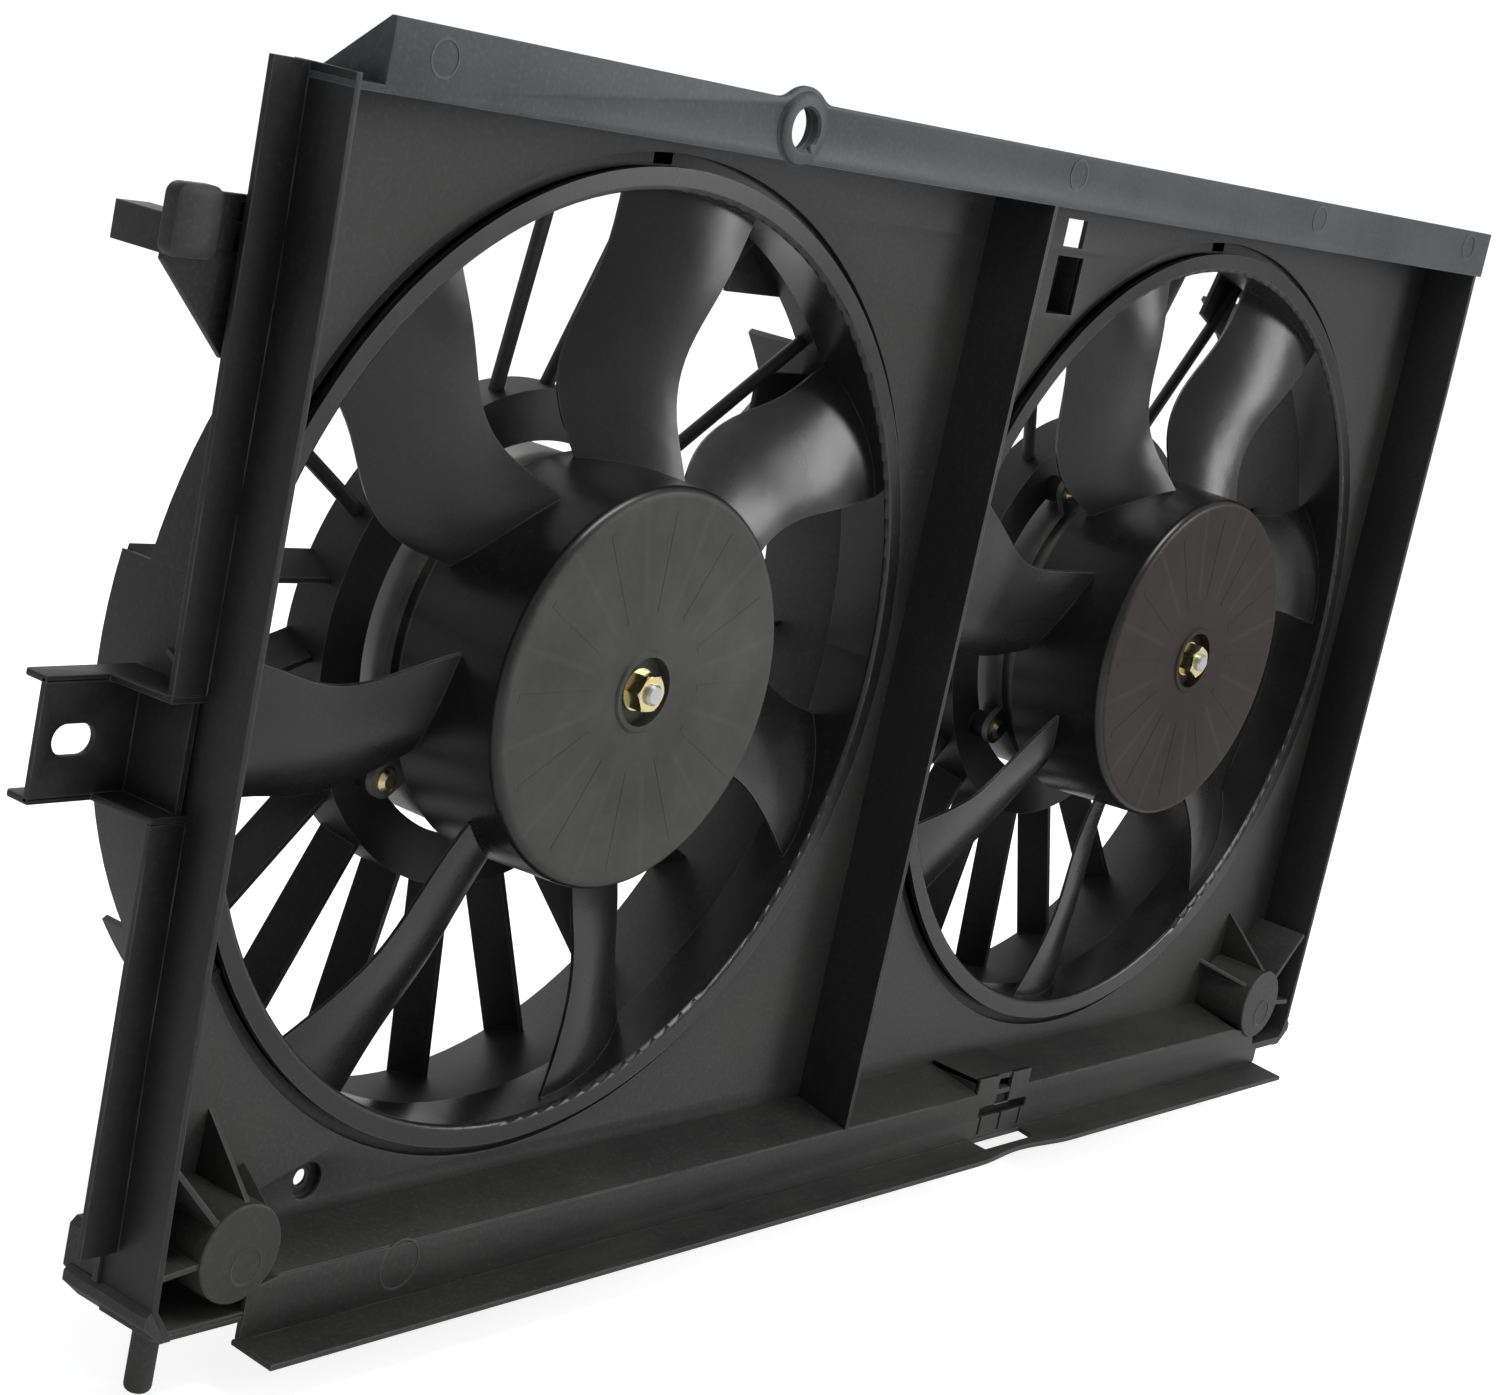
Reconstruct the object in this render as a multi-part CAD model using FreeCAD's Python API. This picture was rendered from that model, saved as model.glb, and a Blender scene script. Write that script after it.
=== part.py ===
import FreeCAD, Part
import math
import os

# Twin radiator fan assembly, seen from the radiator side.
# X runs to the right, Y rearwards to the engine, Z up, in millimetres.
# The origin is the centre of the top mounting hole, in the front face of its ear.

# Where the two fans sit. The tray is laid out from the opening's size.
opening_web = 19.0
ear_right_of_left_axis = 27.0
ear_above_axes = 206.0
opening_radius = 189.0

# Shroud tray
sheet = 2.5
tray_depth = 27.0
ear_proud = 2.0
opening_to_left_wall = 1.0
opening_to_right_wall = 4.5
opening_to_tray_top = 10.5
opening_to_tray_floor = 11.0
flange_width_top = 12.5
flange_width_bottom = 8.0

# Top rail and its ear
rail_height = 17.5
rail_inset_left = 12.5
rail_overhang_right = 6.0
ear_radius = 15.0
ear_hole_radius = 7.5
ear_collar_radius = 10.0
ear_collar_depth = 3.0

# Corner feet, the floor between them and the bottom rail
corner_drop = 13.0
left_foot_width = 52.5
right_foot_width = 37.0
foot_thickness = 4.0
foot_behind_plate = 5.0
foot_rib_height = 24.0
floor_ramp = 16.0
rail_face_height = 24.0
lip_reach = 19.0
clip_from_middle = 45.0
clip_width = 102.0
clip_height = 11.0
clip_slot_count = 6
clip_slot_width = 8.0
lip_window_from_middle = 99.0
lip_window_width = 54.0
lip_window_depth = 9.0

# Corner bosses with their ribs, and the locating pins
left_boss_from_wall = 42.5
right_boss_from_wall = 36.5
boss_above_floor = 10.0
boss_radius = 18.0
boss_proud = 1.0
boss_dish_radius = 14.5
boss_dish = 1.5
boss_rib = 2.2
boss_rib_angles = (122.0, 137.0, 184.0)
boss_rib_reach = 55.0
boss_foot_rib_angle = 20.0
boss_foot_rib_reach = 40.0
pin_radius = 4.5
pin_length = 25.0
pin_from_wall = 19.5
pin_behind_rim = 14.0
pin_nose = 2.5

# Centre divider
divider_base = 3.2
divider_edge = 2.2

# Windows and the screw hole in the plate
window_from_middle = 50.0
window_width = 14.0
window_height = 12.0
window_drop = 11.5
pocket_width = 22.0
pocket_height = 22.0
pocket_gap = 4.5
screw_hole_radius = 3.25
screw_cup_radius = 7.0
screw_cup_depth = 6.0
screw_hole_left_of_axis = 96.0
screw_hole_below_axis = 185.0

# Side bracket
bracket_below_axis = 22.5
bracket_height = 41.0
bracket_reach = 36.5
bracket_set_back = 20.5
bracket_return = 11.0
bracket_corner = 2.5
slot_length = 17.0
slot_width = 10.6
slot_from_wall = 22.5

# Harness connector and the arm that carries it
connector_above_axis = 145.5
connector_width = 22.0
connector_height = 23.0
connector_depth = 8.0
connector_corner = 4.0
connector_from_wall = 30.5
socket_width = 13.0
socket_height = 12.0
socket_length = 24.0
socket_drop = 4.0
arm_window_width = 7.0
arm_window_height = 6.0
arm_window_gap = 3.0
gusset_drop = 30.0

# Air duct behind each opening
duct_step = 7.0
duct_wall = 2.5
duct_lap = 1.0
duct_flange = 2.5
duct_depth = 64.0
duct_depth_side = 52.0
duct_depth_top = 40.0
duct_top_from = 58.0
duct_top_to = 170.0
duct_side_to = 214.0
duct_slot_angle = 93.0
duct_slot_width = 9.0
duct_slot_inset = 0.5
duct_slot_margin = 1.0
notch_angle = 41.0
notch_width = 13.0
notch_depth = 28.0
duct_gusset_angles = (178.0, 203.0)
duct_gusset_reach = 5.0
duct_gusset_front = 30.0
duct_gusset_rear = 49.0

# Motor ring, guide vanes and tie rods
ring_margin = 23.0
ring_wall = 2.5
ring_front = 38.0
ring_rear = 58.0
ring_hole_gap = 3.5
vane_count = 14
vane_first = -196.0
vane_last = 26.0
vane_skew = 7.0
vane_thickness = 2.2
vane_depth = 13.0
vane_stagger = 7.5
vane_rear_gap = 1.0
tie_rod_angles = (46.0, 70.0, 93.0, 115.0, 133.0, 152.0)
tie_rod_radius = 2.8
post_radius = 6.0

# Motor housing
can_radius = 73.0
can_wall = 1.8
can_front = 30.0
can_rear = 60.0
can_corner = 4.0
rear_boss_proud = 2.5
rear_boss_cap = 1.0
cap_front = 20.5
cap_step = 1.0
cap_rim = 3.5
cap_wall = 2.5
groove_depth = 2.5
groove_width = 3.0
lobe_radius = 7.0
screw_first = 36.0
screw_count = 4
screw_radius = 2.5
screw_clearance = 0.05
screw_head_radius = 4.6
screw_head = 2.5
screw_length = 14.0

# Shaft and bearings
shaft_radius = 4.0
shaft_chamfer = 0.8
shaft_clearance = 0.05
shaft_end_gap = 0.5
bearing_radius = 11.0
bearing_width = 7.0
bearing_clearance = 0.02
bearing_seat_wall = 2.5

# Windings, magnets and brushes
magnet_count = 4
magnet_thickness = 7.0
magnet_span = 70.0
magnet_overhang = 2.0
air_gap = 1.0
core_front = 39.0
core_length = 14.0
core_slot_count = 12
core_slot_width = 7.0
core_slot_depth = 16.0
core_tooth_tip = 3.0
winding_overhang = 4.0
winding_inner = 28.0
commutator_radius = 14.0
commutator_length = 9.0
commutator_gap = 1.0
commutator_slit = 0.8
commutator_slit_depth = 1.5
brush_count = 4
brush_section = 6.0
brush_length = 12.0
brush_gap = 0.3
holder_thickness = 2.0
holder_inner = 18.0
holder_guide = 1.0

# Fan: hub, blades and band
hub_front = -29.0
hub_rear = 18.0
hub_radius_front = 75.6
hub_radius_rear = 78.0
hub_wall = 2.5
hub_edge = 4.0
recess_radius = 13.0
recess_depth = 4.0
recess_ring_width = 2.0
recess_ring_height = 0.8
hub_boss_radius = 11.0
hub_boss_length = 16.0
hub_rib_count = 12
hub_rib_depth = 12.0
hub_rib = 1.8
band_gap = 13.0
band_wall = 2.4
band_rear = 20.7
band_lip_gap = 4.5
band_lip_front = -3.4
band_lip = 2.4
band_lip_round = 2.0
blade_count = 7
blade_edge = 1.3
blade_middle = 2.6
blade_camber = 0.07
blade_overrun = 0.08
left_fan_turn = 0.0
right_fan_turn = 31.0

# Blade sections from hub to band. Each gives the leading edge's angle about
# the axis and its depth, then the trailing edge's angle and depth.
blade_sections = (
    (69.5, -7.0, 100.5, 12.0),
    (77.0, 1.0, 102.5, 20.0),
    (78.0, 2.0, 99.0, 20.5),
    (75.5, 1.5, 94.5, 18.5),
    (73.5, 4.0, 93.0, 18.5),
)

# Nut and washer on the end of the shaft
nut_across_flats = 13.0
nut_height = 6.5
nut_chamfer = 0.9
washer_radius = 8.0
washer_thickness = 1.2
shaft_stub = 2.0

# Places worked out from the sizes above
rim_y = ear_proud
plate_y = rim_y + tray_depth
back_y = plate_y + sheet
axis_z = -ear_above_axes
fan_pitch = 2 * opening_radius + opening_web
left_x = -ear_right_of_left_axis
right_x = left_x + fan_pitch
middle_x = (left_x + right_x) / 2
inner_left = left_x - opening_radius - opening_to_left_wall
outer_left = inner_left - sheet
inner_right = right_x + opening_radius + opening_to_right_wall
outer_right = inner_right + sheet
top_z = axis_z + opening_radius + opening_to_tray_top
floor_z = axis_z - opening_radius - opening_to_tray_floor
low_z = floor_z - corner_drop
face_bottom_z = floor_z - rail_face_height
fan_axis = {"left": left_x, "right": right_x}
fan_turn = {"left": left_fan_turn, "right": right_fan_turn}
wall_face = {"left": outer_left, "right": outer_right}
inward = {"left": 1, "right": -1}
foot_width = {"left": left_foot_width, "right": right_foot_width}
boss_from_wall = {"left": left_boss_from_wall, "right": right_boss_from_wall}

# The same for the pieces about a fan's own axis, counted from the plate's front
bore_radius = shaft_radius + shaft_clearance
seat_radius = bearing_radius + bearing_clearance
seat_boss_radius = seat_radius + bearing_seat_wall
duct_radius = opening_radius - duct_step
ring_radius = can_radius + ring_margin
cap_radius = can_radius - cap_step
groove_radius = cap_radius - groove_depth
screw_circle = can_radius + lobe_radius
band_radius = opening_radius - band_gap
band_lip_radius = opening_radius - band_lip_gap
cap_inner_radius = groove_radius - cap_wall
lobe_front = cap_front + cap_rim + groove_width
rear_boss_end = can_rear + rear_boss_proud
rear_bearing_front = rear_boss_end - rear_boss_cap - bearing_width
magnet_outer = can_radius - can_wall
magnet_inner = magnet_outer - magnet_thickness
core_radius = magnet_inner - air_gap
core_rear = core_front + core_length
commutator_rear = core_front - commutator_gap
commutator_front = commutator_rear - commutator_length
washer_rear = hub_front + recess_depth
washer_front = washer_rear - washer_thickness
nut_front = washer_front - nut_height
shaft_front = nut_front - shaft_stub
shaft_rear = rear_bearing_front + bearing_width - shaft_end_gap

V = FreeCAD.Vector
ALONG_Y = V(0, 1, 0)


def box(x0, x1, y0, y1, z0, z1):
    return Part.makeBox(x1 - x0, y1 - y0, z1 - z0, V(x0, y0, z0))


def rod(radius, x, y0, y1, z):
    """Round bar along Y."""
    return Part.makeCylinder(radius, y1 - y0, V(x, y0, z), ALONG_Y)


def face_from(points):
    return Part.Face(Part.makePolygon(points + [points[0]]))


def slab_y(outline, y0, y1):
    """Plate parallel to the front, from (x, z) points."""
    points = [V(x, y0, z) for x, z in outline]
    return face_from(points).extrude(V(0, y1 - y0, 0))


def slab_x(outline, x0, x1):
    """Plate across the part, from (y, z) points."""
    points = [V(x0, y, z) for y, z in outline]
    return face_from(points).extrude(V(x1 - x0, 0, 0))


def slab_z(outline, z0, z1):
    """Level plate, from (x, y) points."""
    points = [V(x, y, z0) for x, y in outline]
    return face_from(points).extrude(V(0, 0, z1 - z0))


def turned(profile):
    """Solid of revolution about the fan axis, from (radius, y) points."""
    points = [V(radius, y, 0) for radius, y in profile]
    return face_from(points).revolve(V(0, 0, 0), ALONG_Y, 360)


def fused(shapes):
    shapes = list(shapes)
    body = shapes[0]
    if len(shapes) > 1:
        body = body.multiFuse(shapes[1:])
    return body.removeSplitter()


def polar(radius, degrees, y=0.0):
    """Point about the fan axis, its angle counted from +X towards +Z."""
    turn = math.radians(degrees)
    return V(radius * math.cos(turn), y, radius * math.sin(turn))


def swung(shape, degrees):
    """Copy turned about the fan axis, positive from +X towards +Z."""
    copy = shape.copy()
    copy.rotate(V(0, 0, 0), ALONG_Y, -degrees)
    return copy


def ring_of(shape, count, first=0.0):
    return [swung(shape, first + index * 360.0 / count) for index in range(count)]


def moved(shape, x, y, z):
    copy = shape.copy()
    copy.translate(V(x, y, z))
    return copy


def at_fan(shape, side):
    """Copy of a piece made about its own axis, moved to the left or right fan."""
    return moved(shape, fan_axis[side], plate_y, axis_z)


def inside(side, distance):
    """The x at a distance inwards from a side wall's outer face."""
    return wall_face[side] + inward[side] * distance


def box_inside(side, near, far, y0, y1, z0, z1):
    """Box between two distances inwards from a side wall's outer face."""
    low, high = sorted((inside(side, near), inside(side, far)))
    return box(low, high, y0, y1, z0, z1)


def sector(radius, start, end, y0, y1):
    """Cutter that covers a range of angles about the fan axis."""
    steps = int(abs(end - start) / 30) + 2
    turn = (end - start) / steps
    reach = radius / math.cos(math.radians(turn / 2))
    rim = [polar(reach, start + turn * index, y0) for index in range(steps + 1)]
    return face_from([V(0, y0, 0)] + rim).extrude(V(0, y1 - y0, 0))


def circle_edges(shape, radius, y):
    """The full circles of one radius about the fan axis at one depth."""
    found = []
    for edge in shape.Edges:
        bounds = edge.BoundBox
        level = abs(bounds.YMin - y) < 0.01 and abs(bounds.YMax - y) < 0.01
        if level and abs(bounds.XMax - radius) < 0.01 and abs(bounds.XMin + radius) < 0.01:
            found.append(edge)
    return found


# The plate is the flat front wall with the two fan openings. Its edges run past
# the side walls as flanges, and the left one widens into the connector's arm.
def shroud_plate():
    outline = []
    for side in ("left", "right"):
        edge = [
            (inside(side, -flange_width_top), top_z),
            (inside(side, -flange_width_bottom), low_z),
            (inside(side, foot_width[side]), low_z),
            (inside(side, foot_width[side]), low_z - sheet),
            (inside(side, foot_width[side] + floor_ramp), floor_z - sheet),
        ]
        outline += edge if side == "left" else edge[::-1]
    plate = slab_y(outline, plate_y, back_y).fuse(connector_arm())
    cutters = [rod(opening_radius, x, plate_y - 1, back_y + 1, axis_z) for x in fan_axis.values()]
    window_x = middle_x + window_from_middle
    window_z = top_z - window_drop
    pocket_x = window_x + window_width
    pocket_z = window_z - window_height - pocket_gap
    cutters.append(box(window_x, pocket_x, plate_y - 1, back_y + 1, window_z - window_height, window_z))
    cutters.append(box(pocket_x - pocket_width, pocket_x, plate_y - 1, back_y + 1,
                       pocket_z - pocket_height, pocket_z))
    bracket_z = axis_z - bracket_below_axis
    cutters.append(box(inside("left", -flange_width_top) - 1, outer_left, plate_y - 1, back_y + 1,
                       bracket_z - bracket_height / 2, bracket_z + bracket_height / 2))
    hole_x = left_x - screw_hole_left_of_axis
    hole_z = axis_z - screw_hole_below_axis
    cup = rod(screw_cup_radius + sheet, hole_x, plate_y, back_y + screw_cup_depth, hole_z)
    well = rod(screw_cup_radius, hole_x, plate_y - 1, back_y + screw_cup_depth - sheet, hole_z)
    hole = rod(screw_hole_radius, hole_x, plate_y - 1, back_y + screw_cup_depth + 1, hole_z)
    return fused([plate.cut(cutters), cup]).cut([well, hole])


def connector_arm():
    centre_z = axis_z + connector_above_axis
    outer = outer_left - connector_from_wall - connector_width / 2
    top = centre_z + connector_height / 2
    bottom = centre_z - connector_height / 2
    outline = [
        (outer_left, top),
        (outer, top),
        (outer, bottom),
        (outer_left - flange_width_top, bottom - gusset_drop),
        (outer_left, bottom - gusset_drop),
    ]
    arm = slab_y(outline, plate_y, back_y)
    window_x = outer_left - flange_width_top + arm_window_width / 2
    rise = (arm_window_height + arm_window_gap) / 2
    windows = [
        box(window_x - arm_window_width, window_x, plate_y - 1, back_y + 1,
            centre_z + shift - arm_window_height / 2, centre_z + shift + arm_window_height / 2)
        for shift in (-rise, rise)
    ]
    return arm.cut(windows).cut(connector_shank())


# Each side wall stands forward from the plate to the rim, and stands on its foot.
def side_wall(side):
    return box_inside(side, 0, sheet, rim_y, plate_y, low_z, top_z)


# The divider stands between the two openings and thins towards its front edge.
def centre_divider():
    half_base = divider_base / 2
    half_edge = divider_edge / 2
    outline = [
        (middle_x - half_base, plate_y),
        (middle_x - half_edge, rim_y),
        (middle_x + half_edge, rim_y),
        (middle_x + half_base, plate_y),
    ]
    return slab_z(outline, floor_z, top_z)


# The top rail is an angle: a level web on the tray and a face that stands up,
# with a triangular cap at each end. Its round ear is the upper mounting point.
def top_rail():
    start = outer_left + rail_inset_left
    end = outer_right + rail_overhang_right
    rail_top = top_z + rail_height
    face_back = rim_y + sheet
    web = box(outer_left, end, rim_y, back_y, top_z, top_z + sheet)
    face = box(start, end, rim_y, face_back, top_z, rail_top)
    cap = [(rim_y, top_z), (rim_y, rail_top), (face_back, rail_top), (back_y, top_z + sheet), (back_y, top_z)]
    caps = [slab_x(cap, start, start + sheet), slab_x(cap, end - sheet, end)]
    ear = rod(ear_radius, 0, 0, face_back, 0)
    collar = rod(ear_collar_radius, 0, 0, face_back + ear_collar_depth, 0)
    hole = rod(ear_hole_radius, 0, -1, face_back + ear_collar_depth + 1, 0)
    return fused([web, face, ear, collar] + caps).cut(hole)


# The tray floor slopes down to a foot at each end. A hollow clip block with a
# slotted front stands across it.
def floor_line(drop):
    """The floor's outline from the left foot to the right one, lowered by a drop."""
    left_ramp = inside("left", left_foot_width)
    right_ramp = inside("right", right_foot_width)
    return [
        (left_ramp, low_z - drop),
        (left_ramp + floor_ramp, floor_z - drop),
        (right_ramp - floor_ramp, floor_z - drop),
        (right_ramp, low_z - drop),
    ]


def tray_floor():
    floor = slab_y(floor_line(0) + floor_line(sheet)[::-1], rim_y, plate_y)
    start = middle_x + clip_from_middle
    clip_top = floor_z + clip_height
    block = box(start, start + clip_width, rim_y, plate_y, floor_z - sheet, clip_top)
    hollow = box(start + sheet, start + clip_width - sheet, rim_y + sheet, plate_y + 1,
                 floor_z - sheet - 1, clip_top - sheet)
    pitch = clip_width / clip_slot_count
    margin = (pitch - clip_slot_width) / 2
    slots = [
        box(start + index * pitch + margin, start + index * pitch + margin + clip_slot_width,
            rim_y - 1, rim_y + sheet + 1, floor_z, clip_top - sheet)
        for index in range(clip_slot_count)
    ]
    return fused([floor, block]).cut([hollow] + slots)


# The bottom rail hangs below the floor's front edge and turns forward into a
# lip, with a window below the clip block.
def bottom_rail():
    left = inside("left", left_foot_width)
    right = inside("right", right_foot_width)
    outline = floor_line(sheet) + [(right, face_bottom_z), (left, face_bottom_z)]
    face = slab_y(outline, rim_y, rim_y + sheet)
    lip = box(left, right, rim_y - lip_reach, rim_y + sheet, face_bottom_z - sheet, face_bottom_z)
    start = middle_x + lip_window_from_middle
    window = box(start, start + lip_window_width, rim_y - sheet - lip_window_depth, rim_y - sheet,
                 face_bottom_z - sheet - 1, face_bottom_z + 1)
    return fused([face, lip]).cut(window)


# Each foot is a pad under the end of the tray, with a rib up the back of the
# flange and a round locating pin below.
def corner_foot(side):
    pad = box_inside(side, -flange_width_bottom, foot_width[side], rim_y, back_y + foot_behind_plate,
                     low_z - foot_thickness, low_z)
    rib_outline = [(back_y, low_z), (back_y + foot_behind_plate, low_z), (back_y, low_z + foot_rib_height)]
    rib_edges = sorted((inside(side, -flange_width_bottom / 2), inside(side, sheet - flange_width_bottom / 2)))
    rib = slab_x(rib_outline, *rib_edges)
    pin_bottom = low_z - foot_thickness - pin_length
    pin = Part.makeCylinder(pin_radius, pin_length + foot_thickness / 2,
                            V(inside(side, pin_from_wall), rim_y + pin_behind_rim, pin_bottom), V(0, 0, 1))
    tip = [edge for edge in pin.Edges if edge.BoundBox.ZMax < pin_bottom + 0.01]
    return fused([pad, rib, pin.makeFillet(pin_nose, tip)])


# The corner boss is a dished round stud on the plate, tied to the side wall
# and to the plate by thin ribs.
def corner_boss(side):
    centre_x = -boss_from_wall[side]
    height = plate_y - rim_y
    stud = rod(boss_radius, 0, -boss_proud, height, 0)
    dish = rod(boss_dish_radius, 0, -boss_proud - 1, boss_dish - boss_proud, 0)
    core = rod(boss_radius - sheet, 0, boss_dish + sheet - boss_proud, height + 1, 0)
    rib = box(boss_radius - sheet / 2, boss_rib_reach, 0, height, -boss_rib / 2, boss_rib / 2)
    ribs = [swung(rib, angle) for angle in boss_rib_angles]
    tapered = slab_z([(boss_radius - sheet / 2, 0), (boss_foot_rib_reach, height), (boss_radius - sheet / 2, height)],
                     -boss_rib / 2, boss_rib / 2)
    ribs.append(swung(tapered, boss_foot_rib_angle))
    reach = boss_from_wall[side] + boss_rib_reach
    room = box(sheet + centre_x, reach, -boss_proud, height, -boss_above_floor - corner_drop, reach)
    boss = fused([stud] + ribs).common(room).cut([dish, core])
    if side == "right":
        boss = boss.mirror(V(0, 0, 0), V(1, 0, 0))
    return moved(boss, inside(side, boss_from_wall[side]), rim_y, floor_z + boss_above_floor)


# The side bracket is a channel set back behind the left flange, with a level
# slot for its screw.
def side_bracket():
    centre_z = axis_z - bracket_below_axis
    top = centre_z + bracket_height / 2
    bottom = centre_z - bracket_height / 2
    web_y = plate_y + bracket_set_back
    rear = web_y + bracket_return
    left = outer_left - bracket_reach
    web = box(left, outer_left, web_y, web_y + sheet, bottom, top)
    side_outline = [
        (left, web_y),
        (outer_left - flange_width_top, web_y),
        (outer_left - flange_width_top, plate_y),
        (outer_left, plate_y),
        (outer_left, rear),
        (left + bracket_corner, rear),
        (left, rear - bracket_corner),
    ]
    upper = slab_z(side_outline, top - sheet, top)
    lower = slab_z(side_outline, bottom, bottom + sheet)
    cheek = box(outer_left, inner_left, back_y, rear, bottom, top)
    slot_x = outer_left - slot_from_wall
    run = (slot_length - slot_width) / 2
    radius = slot_width / 2
    slot = fused([
        rod(radius, slot_x - run, web_y - 1, web_y + sheet + 1, centre_z),
        rod(radius, slot_x + run, web_y - 1, web_y + sheet + 1, centre_z),
        box(slot_x - run, slot_x + run, web_y - 1, web_y + sheet + 1, centre_z - radius, centre_z + radius),
    ])
    return fused([web, upper, lower, cheek]).cut(slot)


# The harness connector is a rounded block on the arm, with a hollow socket that
# passes through the arm and opens to the rear.
def connector_shank():
    x = outer_left - connector_from_wall
    z = axis_z + connector_above_axis - socket_drop
    return box(x - socket_width / 2, x + socket_width / 2, plate_y, back_y + socket_length,
               z - socket_height / 2, z + socket_height / 2)


def connector():
    x = outer_left - connector_from_wall
    z = axis_z + connector_above_axis
    block = box(x - connector_width / 2, x + connector_width / 2, plate_y - connector_depth, plate_y,
                z - connector_height / 2, z + connector_height / 2)
    corners = [edge for edge in block.Edges if edge.BoundBox.YLength > connector_depth - 0.01]
    block = block.makeFillet(connector_corner, corners)
    socket_z = z - socket_drop
    mouth = box(x - socket_width / 2 + sheet, x + socket_width / 2 - sheet, back_y, back_y + socket_length + 1,
                socket_z - socket_height / 2 + sheet, socket_z + socket_height / 2 - sheet)
    return fused([block, connector_shank()]).cut(mouth)


# From here on each piece is made about its own fan axis, with y counted from
# the plate's front face.

# The duct is a short barrel behind the opening, stepped in depth around its
# rim, with a flange against the plate.
def air_duct():
    outer = duct_radius + duct_wall
    flange_outer = opening_radius + duct_lap
    duct = turned([
        (duct_radius, sheet),
        (flange_outer, sheet),
        (flange_outer, sheet + duct_flange),
        (outer, sheet + duct_flange),
        (outer, duct_depth),
        (duct_radius, duct_depth),
    ])
    beyond = duct_depth + 1
    top_cut = sector(outer + 1, duct_top_from, duct_top_to, duct_depth_top, beyond)
    side_cut = sector(outer + 1, duct_top_to, duct_side_to, duct_depth_side, beyond)
    notch = box(duct_radius - duct_wall, outer + duct_wall, duct_depth - notch_depth, beyond,
                -notch_width / 2, notch_width / 2)
    slot = box(outer + duct_slot_inset, flange_outer - duct_slot_margin, 0, sheet + duct_flange + 1,
               -duct_slot_width / 2, duct_slot_width / 2)
    duct = duct.cut([top_cut, side_cut, swung(notch, notch_angle), swung(slot, duct_slot_angle)])
    wing = slab_z([
        (outer - duct_wall / 2, duct_gusset_front),
        (outer + duct_gusset_reach, duct_gusset_front + duct_gusset_reach),
        (outer + duct_gusset_reach, duct_gusset_rear),
        (outer - duct_wall / 2, duct_gusset_rear),
    ], -sheet / 2, sheet / 2)
    return fused([duct] + [swung(wing, angle) for angle in duct_gusset_angles])


def duct_depth_at(degrees):
    turn = degrees % 360
    if duct_top_from < turn < duct_top_to:
        return duct_depth_top
    if duct_top_to <= turn < duct_side_to:
        return duct_depth_side
    return duct_depth


def between_ring_and_duct(shape):
    reach = can_rear + duct_depth
    return shape.common(rod(duct_radius, 0, 0, reach, 0)).cut(rod(ring_radius, 0, 0, reach, 0))


# The motor ring is a shallow cup with four hollow posts for the motor's screws.
def motor_ring():
    hole = can_radius + ring_hole_gap
    ring = turned([
        (hole, ring_front),
        (ring_radius, ring_front),
        (ring_radius, ring_rear),
        (ring_radius - ring_wall, ring_rear),
        (ring_radius - ring_wall, ring_front + ring_wall),
        (hole, ring_front + ring_wall),
    ])
    post = rod(post_radius, screw_circle, can_front, ring_front + ring_wall, 0)
    pilot = rod(screw_radius + screw_clearance, screw_circle, can_front - 1, ring_rear, 0)
    posts = ring_of(post, screw_count, screw_first)
    return fused([ring] + posts).cut(ring_of(pilot, screw_count, screw_first))


# The guide vanes are flat, skewed and slightly turned against the fan's swirl.
def guide_vane(angle):
    ends = (
        (ring_radius - ring_wall, angle, ring_rear - vane_rear_gap),
        (duct_radius + duct_wall, angle + vane_skew, duct_depth_at(angle + vane_skew)),
    )
    half = vane_thickness / 2
    lean = vane_stagger / 2
    wires = []
    for radius, turn, rear in ends:
        centre = polar(radius, turn)
        along = polar(1.0, turn + 90)
        corners = [
            centre + along * (half - lean) + V(0, rear, 0),
            centre - along * (half + lean) + V(0, rear, 0),
            centre + along * (lean - half) + V(0, rear - vane_depth, 0),
            centre + along * (lean + half) + V(0, rear - vane_depth, 0),
        ]
        wires.append(Part.makePolygon(corners + [corners[0]]))
    return between_ring_and_duct(Part.makeLoft(wires, True, True))


def guide_vanes():
    step = (vane_last - vane_first) / (vane_count - 1)
    return Part.makeCompound([guide_vane(vane_first + index * step) for index in range(vane_count)])


# Round tie rods replace the vanes across the top, where the duct is shallow.
def tie_rod(angle):
    inner = polar(ring_radius - ring_wall, angle, (ring_front + ring_rear) / 2)
    outer = polar(duct_radius + duct_wall, angle, duct_depth_top - 2 * tie_rod_radius)
    span = outer - inner
    return between_ring_and_duct(Part.makeCylinder(tie_rod_radius, span.Length, inner, span))


def tie_rods():
    return Part.makeCompound([tie_rod(angle) for angle in tie_rod_angles])


# The motor is a drawn steel can, closed in front by a cast end plate whose four
# lobes are screwed to the ring's posts.
def motor_can():
    can = turned([
        (magnet_outer, can_front),
        (can_radius, can_front),
        (can_radius, can_rear),
        (seat_boss_radius, can_rear),
        (seat_boss_radius, rear_boss_end),
        (0, rear_boss_end),
        (0, rear_boss_end - rear_boss_cap),
        (seat_radius, rear_boss_end - rear_boss_cap),
        (seat_radius, rear_bearing_front),
        (seat_boss_radius, rear_bearing_front),
        (seat_boss_radius, can_rear - can_wall),
        (magnet_outer, can_rear - can_wall),
    ])
    return can.makeFillet(can_corner, circle_edges(can, can_radius, can_rear))


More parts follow.
